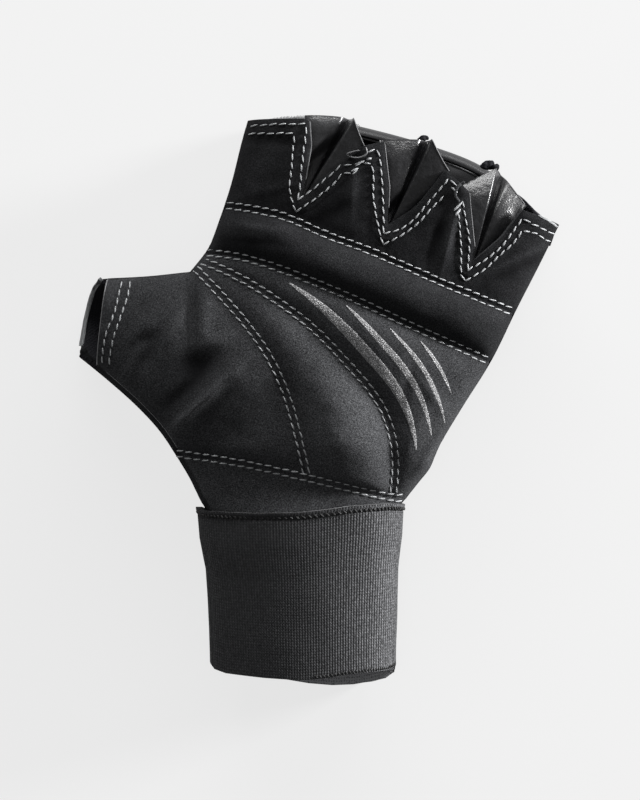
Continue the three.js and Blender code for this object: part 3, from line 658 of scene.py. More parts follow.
def palm_height(places, pad=0.0, slope=4.0, hem=False):
    seam = side_seam(places)
    height = seam + palm_rise(places) + seam_relief(places, pad, slope)
    height += ease(room(places), FADE["forms"]) * (crumple(places, "palm") + crumple(places, "palm_fine"))
    from_side = np.abs(thumb_side.distance(places))
    height -= SIDE_GROOVE["depth"] * hump(from_side - SIDE_GROOVE["at"], SIDE_GROOVE["width"])
    if hem:
        height += over_curls(places)
        inside = np.abs(finger_edge.distance(places))
        height += HEM["height"] * smoothstep((HEM["width"] - inside) / HEM["soft"])
        height -= HEM["turned"] * hump(inside, HEM["turned_width"])
    return np.maximum(height, seam + SEAM_GAP / 2)


def rest_level(places):
    """Where the back lies: on the table, on the knuckle pad, or inside the cuff."""
    climb = smoothstep((along_hand(places) - KNUCKLE_PAD["start"] + BACK_RAMP["ahead"]) / BACK_RAMP["over"])
    lift = smoothstep((CUFF_LIFT["start"] - places[:, 1]) / CUFF_LIFT["over"])
    return (KNUCKLE_PAD["thickness"] + BACK_RAMP["clear"]) * climb + CUFF_LIFT["height"] * lift


def back_level(places):
    """How deep the back bulges under the side seam, and where its outside lies, drawn in along its seam."""
    depth = BACK_FULLNESS * np.sqrt(np.maximum(0, room(places) - EDGE_BAND))
    groove = BACK_GROOVE["depth"] * hump(back_thumb_seam.distance(places), BACK_GROOVE["width"])
    return depth, np.maximum(side_seam(places) - depth, rest_level(places) + groove)


def outward(places, fullness, height):
    """The way out of a surface whose squared height follows the room; level at the outline."""
    step = 0.2
    slopes = [(room(places + way) - room(places - way)) / (2 * step) for way in np.diag((step, step))]
    pull = fullness**2 / 2
    return unit(np.stack((-pull * slopes[0], -pull * slopes[1], height), axis=1))


# Panels

# How far the mesh is crowded towards the outline, how much larger the back's cells are, and the angle from
# which an edge is sharp
CROWDING = 0.65
BACK_CELLS = 1.3
SHARP = math.radians(42)


def in_plan(panel, u, v):
    """Place of a panel's point in plan, between its four sides."""
    b, t = panel["bottom"].at(u), panel["top"].at(u)
    u, v = u[:, None], v[:, None]
    flat = b * (1 - v) + t * v
    if "left" not in panel:
        return flat
    sides = panel["left"].at(v[:, 0]) * (1 - u) + panel["right"].at(v[:, 0]) * u
    (c00, c10), (c01, c11) = ends(panel["bottom"]), ends(panel["top"])
    corners = (c00 * (1 - u) + c10 * u) * (1 - v) + (c01 * (1 - u) + c11 * u) * v
    return flat + sides - corners


def spaced(t, outline, low, high):
    """Crowds the mesh towards the sides that are the glove's outline."""
    if low in outline and high in outline:
        close = (1 - np.cos(np.pi * t)) / 2
    elif high in outline:
        close = np.sin(np.pi * t / 2)
    else:
        return t
    return t + CROWDING * (close - t)


def panel_places(panel, across, along):
    if "corners" in panel:
        across = np.interp(across, np.linspace(0, 1, len(panel["corners"])), panel["corners"])
    wide = (panel["bottom"].length + panel["top"].length) / 2
    inset = SEAM_GAP / 2 / wide
    u = inset + (1 - 2 * inset) * spaced(across, panel["outline"], "left", "right")
    zero, one = np.zeros_like(u), np.ones_like(u)
    tall = np.maximum(np.linalg.norm(in_plan(panel, u, one) - in_plan(panel, u, zero), axis=1), 0.5)
    margin = np.minimum(SEAM_GAP / 2 / tall, 0.2)
    v = margin + (1 - 2 * margin) * spaced(along, panel["outline"], "bottom", "top")
    return in_plan(panel, u, v)


def unit_sheet(columns, rows, closed=False):
    """A sheet with an outer and an inner face. Each vertex keeps its share across and along, and its face."""
    bm = bmesh.new()
    bmesh.ops.create_grid(bm, x_segments=columns, y_segments=rows, size=0.5)
    across, along, inner = (bm.verts.layers.float.new(name) for name in ("across", "along", "inner"))
    for vert in bm.verts:
        vert[across], vert[along] = vert.co.x + 0.5, vert.co.y + 0.5
    if closed:
        for vert in bm.verts:
            turn = 2 * math.pi * vert[across]
            vert.co = (math.cos(turn), math.sin(turn), vert[along])
        bmesh.ops.remove_doubles(bm, verts=bm.verts, dist=1e-5)
    grown = bmesh.ops.extrude_face_region(bm, geom=bm.faces[:], use_keep_orig=True)["geom"]
    for item in grown:
        if isinstance(item, bmesh.types.BMVert):
            item[inner] = 1.0
    return bm


def kept(bm, name):
    """The values of one of the mesh's layers."""
    layer = bm.verts.layers.float[name]
    return np.array([vert[layer] for vert in bm.verts])


def keep(bm, name, values):
    """Adds a layer of values for the material, such as how far each place is painted lighter, from 0 to 1."""
    layer = bm.verts.layers.float.new(name)
    for vert, value in zip(bm.verts, values):
        vert[layer] = value


def places_of(bm):
    return np.array([vert.co for vert in bm.verts]) / MM


def move(bm, places):
    """Moves the vertices to places in millimetres."""
    for vert, place in zip(bm.verts, places * MM):
        vert.co = place


def lay(bm, place):
    """Moves each vertex to place(across, along, inner), which answers in millimetres."""
    move(bm, place(kept(bm, "across"), kept(bm, "along"), kept(bm, "inner") > 0.5))


def round_lips(bm, offset):
    """Rounds the edges all round the outer face."""
    inner = bm.verts.layers.float["inner"]
    lips = []
    for edge in bm.edges:
        on_outside = all(vert[inner] < 0.5 for vert in edge.verts)
        if on_outside and any(vert[inner] > 0.5 for face in edge.link_faces for vert in face.verts):
            lips.append(edge)
    bmesh.ops.bevel(
        bm, geom=lips, offset=offset * MM, segments=2, profile=0.5, affect="EDGES",
        clamp_overlap=True, material=-1,
    )


def add_object(name, data):
    thing = bpy.data.objects.new(name, data)
    bpy.context.scene.collection.objects.link(thing)
    return thing


def mesh_object(bm, name, look):
    mesh = bpy.data.meshes.new(name)
    bm.to_mesh(mesh)
    bm.free()
    mesh.materials.append(material(look))
    return add_object(name, mesh)


def make_piece(bm, name, look, nodes=()):
    """Ends a visible piece. It stands for nodes of the solids, or is one of the small forms on them."""
    bmesh.ops.recalc_face_normals(bm, faces=bm.faces)
    for face in bm.faces:
        face.smooth = True
    for edge in bm.edges:
        edge.smooth = edge.calc_face_angle(0.0) < SHARP
    piece = mesh_object(bm, name, look)
    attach(piece, "root")
    if nodes:
        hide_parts(*nodes)
    return piece


def measure(bm):
    """Keeps how far each place lies from the sheet's middle over its surface, in metres, both ways."""
    across, along, inner = (bm.verts.layers.float[name] for name in ("across", "along", "inner"))
    wide, tall = (bm.verts.layers.float.new(name) for name in ("wide", "tall"))
    outer = sorted((vert for vert in bm.verts if vert[inner] < 0.5), key=lambda vert: (vert[along], vert[across]))
    columns = sum(1 for vert in outer if vert[along] == outer[0][along])
    grid = np.array([vert.co for vert in outer]).reshape(-1, columns, 3)
    runs = []
    for axis in (1, 0):
        steps = np.linalg.norm(np.diff(grid, axis=axis), axis=2)
        total = np.cumsum(np.insert(steps, 0, 0, axis=axis), axis=axis)
        runs.append((total - np.take(total, [total.shape[axis] // 2], axis=axis)).ravel())
    table = {(vert[across], vert[along]): run for vert, *run in zip(outer, *runs)}
    for vert in bm.verts:
        vert[wide], vert[tall] = table[vert[across], vert[along]]


def panel_sheet(panel, cell):
    wide = max(panel["bottom"].length, panel["top"].length)
    return unit_sheet(round(wide / cell), round(panel["tall"] / cell))


def palm_panel(name, panel):
    """A suede panel: its outside is puffed by the padding, and its inside follows the hand."""
    bm = panel_sheet(panel, sizes().cell)
    hem = "hem" in panel

    def place(across, along, inner):
        places = panel_places(panel, across, along)
        low = side_seam(places) + SEAM_GAP / 2
        rise = palm_rise(places)
        top = palm_height(places, panel["pad"], panel["slope"], hem)
        outer = np.column_stack((places, top))
        under = np.column_stack((places, np.maximum(low, side_seam(places) + rise)))
        under -= SUEDE_WALL * outward(places, PALM_FULLNESS, rise)
        under[:, 2] = np.maximum(low, under[:, 2])
        return np.where(inner[:, None], under, outer)

    lay(bm, place)
    round_lips(bm, ROUNDED["palm"])
    # How light the panel is painted: its nap, and painted light and shade
    light = rubbed(places_of(bm)[:, :2], panel["nap"])
    if hem:
        light[kept(bm, "along") > 0.999] = HEM["cut_edge"]
    keep(bm, "rubbed", light)
    piece = make_piece(bm, name, "palm suede", [name])
    return piece


def back_panel(name, panel):
    """A panel of stretch cloth, in a coarser mesh: it bulges down to whatever it lies on."""
    bm = panel_sheet(panel, BACK_CELLS * sizes().cell)

    def place(across, along, inner):
        places = panel_places(panel, across, along)
        seam = side_seam(places)
        depth, lying = back_level(places)
        out = outward(places, BACK_FULLNESS, depth) * (1, 1, -1)
        out = np.where((lying > seam - depth)[:, None], (0.0, 0.0, -1.0), out)
        high = seam - SEAM_GAP / 2
        outer = np.column_stack((places, np.minimum(high, lying)))
        above = outer - BACK_WALL * out
        above[:, 2] = np.minimum(high, above[:, 2])
        return np.where(inner[:, None], above, outer)

    lay(bm, place)
    measure(bm)
    round_lips(bm, ROUNDED["back"])
    add_uv(bm)
    return make_piece(bm, name, "back cloth", [name])


def corner_shares(line, cell):
    """Shares of the finger edge at which the mesh has columns, so that every corner is kept."""
    shares = [0.0]
    for start, end in zip(line.along, line.along[1:]):
        count = max(2, round((end - start) / cell))
        shares += [(start + (end - start) * (k + 1) / count) / line.length for k in range(count)]
    return shares


def framed(bottom, top, left, right):
    """The four sides of a panel between two seams, whose ends lie on the lines to its left and right."""
    (low_left, low_right), (high_left, high_right) = ends(bottom), ends(top)
    return {
        "bottom": bottom, "top": top, "left": left.between(low_left, high_left),
        "right": right.between(low_right, high_right),
    }


def palm_panels():
    """Sides, mesh, padding and lightness of each suede panel, which is partly its nap and partly painted light and
    shade. "outline" names the sides that are the glove's outline.
    """
    wrist_left, wrist_right = ends(wrist_seam)
    return {
        "palm_finger_panel": {
            **framed(roll_upper, finger_edge, index_side, little_side),
            "corners": corner_shares(finger_edge, 1.5), "tall": 36, "outline": (), "nap": 0.13, **FLAPS,
        },
        "palm_roll": {
            **framed(roll_lower, roll_upper, index_side, little_side),
            "tall": 20, "outline": ("left", "right"), "nap": 0.18, "pad": 4.2, "slope": 3.4, "fill": 0.7,
        },
        "palm_centre": {
            **framed(outer_arc, roll_lower, index_side, little_side),
            "right": wrist_seam.between(ends(outer_arc)[1], wrist_right)
            .then(little_side.between(wrist_right, ends(roll_lower)[1])),
            "tall": 56, "outline": ("right",), "nap": 0.6, "pad": 2.8, "slope": 4, "fill": 0.4,
        },
        "heel_crescent": {
            **framed(inner_arc, outer_arc, index_side, wrist_seam),
            "tall": 28, "outline": (), "nap": 0.66, "pad": 7.8, "slope": 9.5, "fill": 0.6,
        },
        "thumb_front": {
            "bottom": thumb_side.between(THUMB_OPENING[0], wrist_left),
            "top": thumb_top.between(THUMB_OPENING[1], ends(index_side)[0]).then(inner_arc),
            "left": thumb_opening, "right": wrist_seam.between(wrist_left, ends(inner_arc)[1]),
            "tall": 60, "outline": ("bottom", "top"), "nap": 0.5, **THUMB,
        },
        "wrist_front": {
            **framed(wrist_end, wrist_seam, thumb_side, little_side),
            "tall": 16, "outline": ("left", "right"), "nap": 0.84, "pad": 0.6, "slope": 3,
        },
    }


def back_panels():
    depth = KNUCKLE_PAD["roll_depth"] * HAND
    back_top = seam_between([tuple(np.array(p) - depth) for p in BACK_RIM], index_side, little_side)
    return {
        "thumb_back": {
            "bottom": thumb_side.between(THUMB_SIDE[1], WRIST_END[0]),
            "top": thumb_top.between(THUMB_TOP[1], ends(index_side)[0]).then(back_thumb_seam),
            "left": Line.smooth(THUMB_BACK_RIM), "right": Line([WRIST_END[0], BACK_THUMB_SEAM[-1]]),
            "tall": 60, "outline": ("bottom", "top"),
        },
        "back_hand": {
            "bottom": Line([BACK_THUMB_SEAM[-1], WRIST_END[1]]), "top": back_top, "tall": 150,
            "left": back_thumb_seam.reversed().then(index_side.between(ends(index_side)[0], ends(back_top)[0])),
            "right": little_side.between(WRIST_END[1], ends(back_top)[1]),
            "outline": ("left", "right"),
        },
    }


# Gussets, knuckle pad, cuff

def on_gusset(shape, across, along):
    """A point of the web's outer face: across runs from flap to flap, along from the notch to the rim."""
    V, A, P, B = (np.array(shape[key], dtype=float) for key in "VAPB")
    g = GUSSET_SHAPE
    f = g["fold_at"]
    side = shape["ridge"]
    v = g["from_notch"] + (1 - g["from_notch"]) * along
    first = across < f
    near = np.clip(across / f, 0, 1)
    beyond = np.clip((across - f) / (1 - f), 0, 1)
    rim = np.where(first[:, None], A + (P - A) * near[:, None], P + (B - P) * beyond[:, None])
    sag = (P - A)[::-1] * (1, -1) / np.linalg.norm(P - A)
    drawn_in = np.where(first, g["sag"] * np.sin(np.pi * near), -g["bulge"] * np.sin(np.pi * beyond))
    rim = rim - drawn_in[:, None] * sag
    places = V + (rim - V) * v[:, None]
    height = side_seam(places) + palm_rise(places) - g["below"]
    lobe_1 = g["crest"] * np.sin(np.pi * near**0.8) ** 0.8
    if side > 0:
        lobe_2 = g["crest"] * np.cos(np.pi / 2 * beyond) ** 0.6
    else:
        lobe_2 = 0.9 * g["crest"] * (np.sin(np.pi * (0.15 + 0.85 * beyond)) - 0.25)
        lobe_1 = g["crest"] * np.sin(np.pi / 2 * near) ** 0.7
    height += np.where(first, lobe_1, lobe_2) * v**0.6
    bound = shape["plunge"][0] + (shape["plunge"][1] - shape["plunge"][0]) * near
    deep = np.where(first, smoothstep((bound - v) / 0.2) * np.minimum(1, near * 9), 0)
    height -= g["plunge"] * deep * v**0.5
    slit = (across - f + side * 1.2 * g["slit_width"]) / g["slit_width"]
    height -= g["slit"] * v**0.7 * np.exp(-(slit**2))
    start, over_1, over_2 = shape["rolled"]
    if side > 0:
        first_roll, past = over_1 * np.sin(np.pi * near) ** 0.3, over_2 * np.sin(np.pi * beyond) ** 0.3
    else:
        first_roll = over_1 * np.sin(np.pi / 2 * near) ** 0.3
        past = (over_1 + (over_2 - over_1) * beyond) * np.cos(np.pi / 2 * np.clip(beyond, 0, 0.999)) ** 0.3
    height -= np.clip((v - start) / (1 - start), 0, 1) ** 2 * np.where(first, first_roll, past)
    height += v * crumple(places, "gusset") + crumple(places, "gusset_fine")
    return np.column_stack((places, np.maximum(height, g["lowest"])))


def gusset(name, shape):
    """A pleated web of leather that hangs in its notch between two flaps."""
    bm = unit_sheet(*CELLS["gusset"])
    lay(bm, lambda across, along, inner: on_gusset(shape, across, along) - inner[:, None] * (0, 0, GUSSET_WALL))
    # Painted light on either lobe, less of it towards the notch, where shade falls
    worn = np.where(kept(bm, "across") < GUSSET_SHAPE["fold_at"], *shape["worn"])
    at_notch = GUSSET_SHAPE["lightened_at_notch"]
    keep(bm, "rubbed", worn * (at_notch + (1 - at_notch) * kept(bm, "along")))
    round_lips(bm, ROUNDED["gusset"])
    return make_piece(bm, name, "gusset leather", [name])


def pad_sides():
    """The knuckle pad in plan: a band across the back, from a line behind the knuckles to the rim."""
    k = KNUCKLE_PAD
    on_start = lambda x: (x, (k["start"] - k["wedge"] - HAND[0] * x) / HAND[1])
    rim_left, rim_right = ends(back_rim)
    left = index_side.between(on_start(k["left"]), rim_left)
    right = little_side.between(on_start(k["right"]), rim_right)
    start = Line([ends(left)[0], ends(right)[0]])
    tuck = k["tuck"] / start.length
    corners = start.at(tuck), start.at(1 - tuck)
    left, right = (
        Line.smooth([corner, side.at(0.42), side.at(0.7), side.at(1)]) for corner, side in zip(corners, (left, right))
    )
    return {"bottom": Line(corners), "top": back_rim, "left": left, "right": right}


def pad_form(places):
    """How far in from its edge a place of the pad is, from 0 to 1; heights of bar and top; way from the border."""
    k = KNUCKLE_PAD
    from_rim = np.abs(back_rim.distance(places))
    from_sides = np.min([np.abs(side.distance(places)) for side in (upper_edge, little_side)], axis=0) - k["inset"]
    from_start = along_hand(places) - k["start"] + k["wedge"]
    inside = np.min([from_rim / k["rim_round"], from_sides / k["round"], from_start / k["round"]], axis=0)
    bar = np.clip(rest_level(places) - BACK_RAMP["clear"], 1.0, k["thickness"])
    blend = smoothstep((from_rim - k["roll_depth"] + k["roll_waist"]) / k["roll_blend"])
    border = np.min([from_rim, from_sides, from_start], axis=0) - k["border"]
    return np.clip(inside, 0, 1), bar, bar + (k["roll"] - bar) * (1 - blend), border


def rounding(inside, power=2.3):
    return (1 - (1 - inside) ** power) ** (1 / power)


def roll_top(places):
    """The height of the roll's top."""
    inside, bar, top, border = pad_form(places)
    edge = rounding(inside)
    return bar / 2 * (1 - edge) + top * edge


def pad_underside(places):
    """Sewn channels underneath: one all round, and one between the knuckles of each two fingers."""
    k = KNUCKLE_PAD
    border = pad_form(places)[3]
    lines = [hump(border, k["border_width"])]
    lines += [hump(line.distance(places), k["channel_width"]) * (border > 0) for line in pad_channels()]
    return k["channel"] * np.max(lines, axis=0)


def pad_channels():
    sides = pad_sides()
    shares = np.array(KNUCKLE_PAD["channels"])
    return [Line([low, high]) for low, high in zip(sides["bottom"].at(shares), sides["top"].at(shares))]


def knuckle_pad():
    """The padded leather bar under the back, and the roll that shows behind the fingers."""
    k = KNUCKLE_PAD
    panel = pad_sides()
    bm = unit_sheet(*CELLS["knuckle_pad"])

    def place(across, along, inner):
        inset = k["inset"] / panel["bottom"].length
        u = inset + (1 - 2 * inset) * (1 - np.cos(np.pi * across)) / 2
        places = in_plan(panel, u, (1 - np.cos(np.pi * along)) / 2)
        inside, bar, top, border = pad_form(places)
        on_edge = (across < 1e-5) | (across > 1 - 1e-5) | (along < 1e-5) | (along > 1 - 1e-5)
        edge = rounding(np.where(on_edge, 0, inside))
        level = np.where(inner, pad_underside(places), top + crumple(places, "pad"))
        return np.column_stack((places, bar / 2 * (1 - edge) + level * edge))

    lay(bm, place)
    bmesh.ops.remove_doubles(bm, verts=bm.verts, dist=0.02 * MM)
    piece = make_piece(bm, "knuckle_pad", "pad leather", ["knuckle_pad"])
    return piece


def roll_facing():
    """The leather facing inside the ring finger's hole, between the roll's piping and the back."""
    near, far = (back_rim.offset(side, *FACING["shares"]) for side in FACING["sides"])
    bm = unit_sheet(*CELLS["roll_facing"])

    def place(across, along, inner):
        places = near.at(across) * (1 - along[:, None]) + far.at(across) * along[:, None]
        level = FACING["level"] + FACING["crown"] * np.sin(np.pi * along) - FACING["wall"] * inner
        return np.column_stack((places, level + crumple(places, "facing")))

    lay(bm, place)
    keep(bm, "rubbed", np.full(len(bm.verts), FACING["worn"]))
    return make_piece(bm, "roll_facing", "pad leather")


def cuff_places(across, along, inset):
    """Points of the cuff's wall: across is the share of the way round, along runs down from the top edge."""
    rows = np.linspace(0, 1, len(CUFF))
    y, x, half, over, under = (np.interp(along, rows, CUFF[:, k]) for k in range(5))
    turn = 2 * np.pi * across
    c, s = np.cos(turn), np.sin(turn)
    x = x + (half - inset) * c
    z = CUFF_SEAM + np.where(s > 0, over - inset, under - inset) * s
    top, front, back = (np.interp(x, *np.transpose(edge)) for edge in (CUFF_TOP, CUFF_FRONT, CUFF_BACK))
    y = top + (np.where(s > 0, front, back) - top) * along
    return np.column_stack((x, y, np.maximum(inset, z)))


def cuff():
    """The ribbed elastic tube, with a welt along its top edge."""
    s = sizes()
    steps = np.linspace(0, 1, 400)
    round_middle = Line(cuff_places(steps, np.full(400, 0.5), 0.0))
    ribs = round(round_middle.length / s.rib_pitch)
    bm = unit_sheet(ribs * CUFF_CELLS["per_rib"], CUFF_CELLS["along"], closed=True)
    around = round_middle.along / round_middle.length

    def place(across, along, inner):
        even = np.interp(across, around, steps)
        below = along * CUFF_LENGTH - WELT["height"]
        welt = WELT["proud"] * (1 - smoothstep(below / WELT["soft"]))
        welt -= WELT["groove"] * hump(below - WELT["soft"], WELT["groove_width"])
        plain = WELT["ribs_on_welt"]
        ribbed = plain + (1 - plain) * smoothstep((below - WELT["ribs_from"]) / WELT["ribs_over"])
        wave = 0.5 + 0.5 * np.cos(2 * np.pi * ribs * across)
        outer = cuff_places(even, along, 0.0)
        inset = np.where(inner, CUFF_WALL, s.rib_depth * ribbed * wave - welt)
        outer_in = cuff_places(even, along, 1.0)
        way = outer_in - outer
        way[:, 1] = 0
        way /= np.maximum(np.linalg.norm(way, axis=1), 1e-6)[:, None]
        moved = outer + way * inset[:, None]
        waves = noise_at(moved / CUFF_WAVES["scale"])
        moved += way * (CUFF_WAVES["height"] * waves * (moved[:, 2] > CUFF_WAVES["over"]))[:, None]
        moved[:, 2] = np.maximum(moved[:, 2], np.where(inner, CUFF_WALL, 0.0))
        return moved

    lay(bm, place)
    x, _, z = places_of(bm).T
    inner, light = kept(bm, "inner"), CUFF_LIGHT
    # Painted light: inside the mouth, where shade falls, and outside towards the right and the upper half, which face
    # the lamps
    keep(bm, "lining", light["lining"] * inner * smoothstep(4 * kept(bm, "along") - 2))
    right = smoothstep((x - light["from_x"]) / light["over_x"])
    right *= 1 - light["dims"] * smoothstep((x - light["dims_x"]) / light["dims_over"])
    upper = light["least"] + (1 - light["least"]) * smoothstep((z - light["from_z"]) / light["over_z"])
    keep(bm, "rubbed", (1 - inner) * right * upper)
    round_lips(bm, ROUNDED["cuff"])
    add_uv(bm, ribs * s.rib_pitch * MM, CUFF_LENGTH * MM, ("across", "along"))
    return make_piece(bm, "cuff", "cuff elastic", ["cuff"])


def cuff_join():
    """The turned edge that joins the cuff to the wrist, just inside the cuff's welt."""
    bm = unit_sheet(*CELLS["cuff_join"], closed=True)
    join = CUFF_JOIN

    def place(across, along, inner):
        depth = np.full(len(across), join["depth"] / CUFF_LENGTH)
        level = cuff_places(across, depth, join["inset"] + join["width"] * along)
        level[:, 1] -= join["wall"] * inner
        return level

    lay(bm, place)
    add_uv(bm, 0.2, 0.005, ("across", "along"))
    return make_piece(bm, "cuff_join", "cuff elastic")


def add_uv(bm, girth=1.0, length=1.0, ways=("wide", "tall")):
    """Lays the sheet out flat as a UV map, in metres. Round a tube the map goes on past the seam."""
    across, along = (bm.verts.layers.float[way] for way in ways)
    uv = bm.loops.layers.uv.new("UVMap")
    for face in bm.faces:
        shares = [vert[across] for vert in face.verts]
        wraps = ways[0] == "across" and max(shares) - min(shares) > 0.5
        for loop in face.loops:
            share = loop.vert[across]
            loop[uv].uv = ((share + 1 if wraps and share < 0.5 else share) * girth, loop.vert[along] * length)


# Stitches and stripes

def row_of_stitches(line, lift=LIFTS["palm"], surface=palm_height, **height):
    """Ends of the stitches of one row along a line in plan, on the palm's surface or another one."""
    s = sizes()
    count = max(1, round(line.length / s.stitch_pitch))
    half = s.stitch_length / 2 / s.stitch_pitch / count
    starts, finishes = line.at(middles(count) - half), line.at(middles(count) + half)
    uneven = noise_at(np.column_stack((starts, np.full(count, SLANT["seed"]))))
    slant = SLANT["mean"] + SLANT["varies"] * uneven
    finishes = finishes + slant[:, None] * leftward(finishes - starts)
    z = np.maximum(surface(np.vstack((starts, finishes)), **height), STITCHES_CLEAR) + lift
    return np.column_stack((starts, z[:count], finishes, z[count:]))


def sew(name, stitches, width, look, facing=1):
    """One piece with a short thread for each stitch, whose ends dive into the leather. facing is -1 underneath."""
    bm = bmesh.new()
    bmesh.ops.create_uvsphere(bm, u_segments=8, v_segments=7, radius=1.0, matrix=Matrix.Rotation(math.pi / 2, 4, "Y"))
    number = bm.verts.layers.int.new("number")
    made = 1
    while made < len(stitches):
        copied = [vert for vert in bm.verts if vert[number] < len(stitches) - made]
        faces = dict.fromkeys(face for vert in copied for face in vert.link_faces)
        grown = bmesh.ops.duplicate(bm, geom=copied + list(faces))["geom"]
        for item in grown:
            if isinstance(item, bmesh.types.BMVert):
                item[number] += made
        made *= 2
    shape = np.array([vert.co for vert in bm.verts])
    rows = stitches[[vert[number] for vert in bm.verts]]
    start, end = rows[:, :3], rows[:, 3:]
    run = end - start
    side = unit(np.cross((0, 0, 1), run))
    up = unit(facing * np.cross(run, side))
    x, y, z = (shape[:, k, None] for k in range(3))
    move(bm, (start + end) / 2 + run / 2 * x + side * width / 2 * y + up * width * (0.5 * z - 0.25 * x**4))
    return make_piece(bm, name, look)


def stitching():
    """Double rows along the palm's seams, and the rows round the flaps and the thumb hole."""
    width = sizes().stitch_width
    half = SEAM_ROWS_APART / 2
    rows = [
        row_of_stitches(seam.offset(side, 0.004, 0.988), LIFTS["wrist" if seam is wrist_seam else "palm"])
        for seam in PALM_SEAMS for side in (-half, half)
    ]
    sew("seam_stitches", np.vstack(rows), width, "seam thread")
    rows = [
        row_of_stitches(Line.smooth(on_palm(row), pieces=8), **swell)
        for table, swell in ((FLAP_ROWS, FLAPS), (THUMB_ROWS, THUMB)) for row in table
    ]
    sew("hem_stitches", np.vstack(rows), width, "seam thread")


def stitching_underneath():
    """Double rows along the back's seam, and single rows in the knuckle pad's channels."""
    half = SEAM_ROWS_APART / 2
    outside = lambda places: back_level(places)[1]
    rows = [
        row_of_stitches(back_thumb_seam.offset(side, 0.03, 0.93), LIFTS["under"], outside) for side in (-half, half)
    ]
    sew("back_stitches", np.vstack(rows), sizes().stitch_width, "overlock thread", facing=-1)
    sides, k = pad_sides(), KNUCKLE_PAD
    from_side = (k["inset"] + k["border"]) / sides["bottom"].length
    from_end = k["border"] / k["deep"]
    low, high = np.array((from_side, from_end)), np.array((1 - from_side, 1 - from_end))
    corners = np.array([low, (high[0], low[1]), high, (low[0], high[1]), low])
    t = np.linspace(0, 1, 60)[:, None]
    rows = [Line(in_plan(sides, *(start + (end - start) * t).T)) for start, end in zip(corners, corners[1:])]
    rows += [line.offset(0, 0.16, 0.84) for line in pad_channels()]
    rows = [row_of_stitches(line, LIFTS["under"], pad_underside) for line in rows]
    sew("pad_stitches", np.vstack(rows), sizes().stitch_width, "overlock thread", facing=-1)


def grip_stripe(name, distance, start, end, width):
    """A thin raised stripe, tapered at both ends, that lies on the palm's centre panel."""
    middle = outer_arc.offset(distance, start, end)
    bm = unit_sheet(*CELLS["grip_stripe"])

    def place(across, along, inner):
        half = width / 2 * np.sin(np.pi * (0.02 + 0.96 * across)) ** STRIPE_TAPER
        places = middle.beside(across, half * (2 * along - 1))
        round_off = 1 - np.abs(2 * along - 1) ** 6
        lift = np.where(inner, -0.3, 0.05 + (sizes().stripe_height - 0.05) * round_off)
        return np.column_stack((places, palm_height(places, STRIPE_PAD) + lift))

    lay(bm, place)
    return make_piece(bm, name, "grip print")


# Small trims

def tube(name, path, radius, look="cut edges", segments=60, sides=10, flat=1.0, ends=0.03, lightening_to=1.0):
    """A soft roll of leather along a path in space. "ends" is the share of it over which it tapers at an end."""
    bm = bmesh.new()
    bmesh.ops.create_grid(bm, x_segments=segments, y_segments=sides, size=0.5)
    places = np.array([vert.co for vert in bm.verts])
    share, turn = places[:, 0] + 0.5, 2 * np.pi * (places[:, 1] + 0.5)
    middle = path(share)
    ahead = unit(path(np.clip(share + SHARE_STEP, 0, 1)) - path(np.clip(share - SHARE_STEP, 0, 1)))
    side = unit(np.cross(ahead, (0, 0, 1)))
    up = np.cross(side, ahead)
    uneven = noise_at(middle / ROLL_UNEVEN["scale"])
    thick = radius * np.sqrt(np.clip(np.minimum(share, 1 - share) / ends, 0, 1))
    thick *= 1 + ROLL_UNEVEN["share"] * uneven
    move(bm, middle + side * (thick * np.cos(turn))[:, None] + up * (flat * thick * np.sin(turn))[:, None])
    bmesh.ops.remove_doubles(bm, verts=bm.verts, dist=0.01 * MM)
    keep(bm, "rubbed", np.full(len(bm.verts), lightening_to))
    return make_piece(bm, name, look)


def strokes(starts, finishes, height, lift, end_lift):
    """Rows for sew between places in plan, at a height, lifted by one amount at the start and one at the end."""
    return np.column_stack((starts, height(starts) + lift, finishes, height(finishes) + end_lift))


def in_space(line, height):
    """A path in space over a line in plan, at a height that is given or worked out from the places."""
    def path(share):
        places = line.at(share)
        return np.column_stack((places, height(places) if callable(height) else np.full(len(places), height)))
    return path


def thumb_rim():
    """The rolled hem round the thumb hole: round the back, then over the corner to the front."""
    back = Line.smooth(THUMB_BACK_RIM[1:])
    rim = in_space(back, lambda p: back_level(p)[1] + BACK_WALL / 2)
    tube("thumb_rim_back", rim, **ROLLS["thumb_rim_back"])
    row = OVERLOCK["thumb"]
    share = middles(row["count"])
    strands = [rim(share), rim(share + SHARE_STEP)]
    side = unit(np.column_stack((leftward(strands[1] - strands[0]), 0 * share)))
    strands = [s + away * side + (0, 0, lift) for s, away, lift in zip(strands, row["beside"], row["lifts"])]
    sew("thumb_overlock", np.column_stack(strands), row["width"], "overlock thread")
    lip = lambda p: palm_height(p, **THUMB) - 0.35
    tube("thumb_rim_front", in_space(thumb_opening.offset(-0.1, 0.05, 1.0), lip), **ROLLS["thumb_rim_front"])
    low_seam = thumb_side.between(THUMB_SEAM["start"], THUMB_SEAM["end"]).offset(THUMB_SEAM["inset"])
    on_suede = lambda p: palm_height(p, **THUMB) + 0.02
    tube("thumb_seam", in_space(low_seam, on_suede), **ROLLS["thumb_seam"])
    corner = in_space(Line.smooth(THUMB_CORNER), THUMB_CORNER_HEIGHT)
    tube("thumb_rim_corner", corner, **ROLLS["thumb_rim_corner"])


